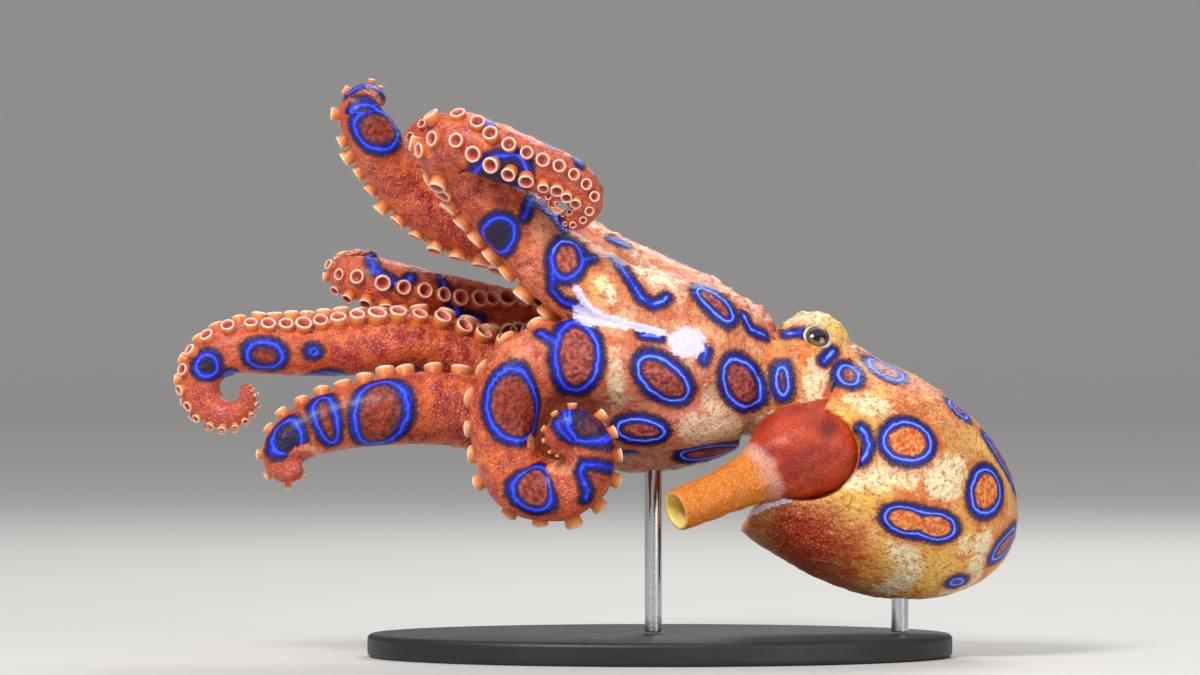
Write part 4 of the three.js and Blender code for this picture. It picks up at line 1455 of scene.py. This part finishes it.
def base_material():
    n = Nodes("stand_black")
    n.set(Coat_Weight=0.08, Coat_Roughness=0.4)
    grain, clouds = n.noise(0.3, 3), n.noise(14, 3)
    n.link(n.mix(n.between(clouds, 0.3, 0.7), rgb(26, 26, 28), rgb(34, 34, 37)), "Base Color")
    n.link(n.ramp(grain, [(0.3, rgb(170, 170, 170)), (0.7, rgb(200, 200, 200))])[0], "Roughness")
    n.bump((grain, 0.015))
    return n.material


def floor_material():
    n = Nodes("floor")
    n.set(Base_Color=rgb(206, 204, 200), Roughness=0.7)
    return n.material


# The stand

ROD_BEVEL = {"foot": 0.15, "top": 0.3}


def base():
    """The oval plate, its edges rounded."""
    edge, top = BASE["edge"], BASE["thickness"]
    bend = np.linspace(0, math.pi / 2, 7)
    profile = [(edge * (1 - math.sin(a)), edge * (1 - math.cos(a))) for a in bend]
    profile += [(edge * (1 - math.cos(a)), top - edge * (1 - math.sin(a))) for a in bend]
    sides = 160
    angle = np.arange(sides) * math.tau / sides
    points = []
    for inset, height in profile:
        half_length, half_depth = BASE["length"] / 2 - inset, BASE["depth"] / 2 - inset
        points += [(half_length * math.cos(a), half_depth * math.sin(a), height) for a in angle]
    return outward(mesh_object("base_plate", points, tube_faces(len(profile), sides)))


def rod(name, x, y, top):
    profile = [
        (ROD_RADIUS - ROD_BEVEL["foot"], BASE["thickness"] + ROD_GAP),
        (ROD_RADIUS, BASE["thickness"] + ROD_GAP + ROD_BEVEL["foot"]),
        (ROD_RADIUS, top - ROD_BEVEL["top"]),
        (ROD_RADIUS - ROD_BEVEL["top"], top),
    ]
    return outward(mesh_object(name, *lathe(profile, np.array([x, y, 0.0]), np.array([0.0, 0, 1]), 48)))


# The studio

FLOOR = {"flat": 2600, "bend": 900, "wall": 3200}
LAMPS = {  # place, size and power
    "key": ((-0.3, -0.5, 0.55), 0.26, 4.8),
    "fill": ((0.5, -0.55, 0.2), 0.45, 1.5),
    "rim": ((0.15, 0.45, 0.5), 0.35, 1.9),
}
LAMP_AIM = Vector((0, 0, 0.045))
SKY_STRENGTH = 0.75
CLIP = (0.05, 20)


def studio():
    """A floor that turns up into a plain wall all round, soft lamps, and a pale sky."""
    flat, bend, wall = FLOOR["flat"], FLOOR["bend"], FLOOR["wall"]
    profile = [(1, 0), (flat, 0)]
    turns = np.linspace(0, math.pi / 2, 24)[1:]
    profile += [(flat + bend * math.sin(a), bend * (1 - math.cos(a))) for a in turns]
    profile.append((flat + bend, wall))
    points, faces = lathe(profile, np.zeros(3), np.array([0.0, 0, 1]), 128)
    floor = mesh_object("floor", points, faces[:-1])
    shade_smooth(floor)
    floor.data.materials.append(floor_material())
    for name, (place, size, power) in LAMPS.items():
        lamp = bpy.data.lights.new(name, "AREA")
        lamp.shape = "DISK"
        lamp.size = size
        lamp.energy = power
        made = bpy.data.objects.new(name, lamp)
        made.location = place
        made.rotation_euler = (LAMP_AIM - Vector(place)).to_track_quat("-Z", "Y").to_euler()
        bpy.context.scene.collection.objects.link(made)
    world = bpy.data.worlds.new("studio")
    world.use_nodes = True
    world.node_tree.nodes["Background"].inputs["Color"].default_value = rgb(238, 240, 244)
    world.node_tree.nodes["Background"].inputs["Strength"].default_value = SKY_STRENGTH
    bpy.context.scene.world = world
    bpy.context.scene.view_settings.view_transform = "Standard"


def camera():
    data = bpy.data.cameras.new("camera")
    data.sensor_width = SENSOR
    data.lens = SENSOR * CAMERA_DISTANCE / (IMAGE["width"] * PIXEL)
    data.clip_start, data.clip_end = CLIP
    made = bpy.data.objects.new("camera", data)
    made.location = Vector((CAMERA_AT + ANIMAL_AT) * MM)
    made.rotation_euler = (math.pi / 2, 0, 0)
    bpy.context.scene.collection.objects.link(made)
    bpy.context.scene.camera = made


def finish_piece(obj, material, slot, *nodes, animal=True):
    """Places a piece in the part's frame, gives it its material, and hides the model's nodes that it stands
    in for.
    """
    if animal:
        obj.data.transform(Matrix.Translation(Vector(ANIMAL_AT * MM)))
    obj.data.materials.clear()
    obj.data.materials.append(material)
    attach(obj, "root")
    if nodes:
        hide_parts(*nodes)


camera()
studio()
skin = make_skin()
dress_skin(skin)
arm_nodes = [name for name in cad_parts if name.startswith("arm_")]
finish_piece(skin, skin_material(), "crown", "mantle", "head", *arm_nodes)
sucker_finish = sucker_material()
noise.seed_set(LEAN_SEED)
for name, limb in arms.items():
    finish_piece(suckers(name, limb), sucker_finish, "arms")
eye_finish = eye_material()
finish_piece(eyeball("eyeball_left", EYE_AT, LEFT), eye_finish, "eye", "eye_left")
finish_piece(eyeball("eyeball_right", mirrored(EYE_AT), -LEFT), eye_finish, "eye", "eye_right")
finish_piece(funnel(), funnel_material(), "funnel", "funnel")
steel = steel_material()
finish_piece(rod("rod_mantle", **RODS["mantle"]), steel, "rod", "stand_rod_mantle", animal=False)
finish_piece(rod("rod_crown", **RODS["crown"]), steel, "rod", "stand_rod_crown", animal=False)
finish_piece(base(), base_material(), "base", "stand_base", animal=False)
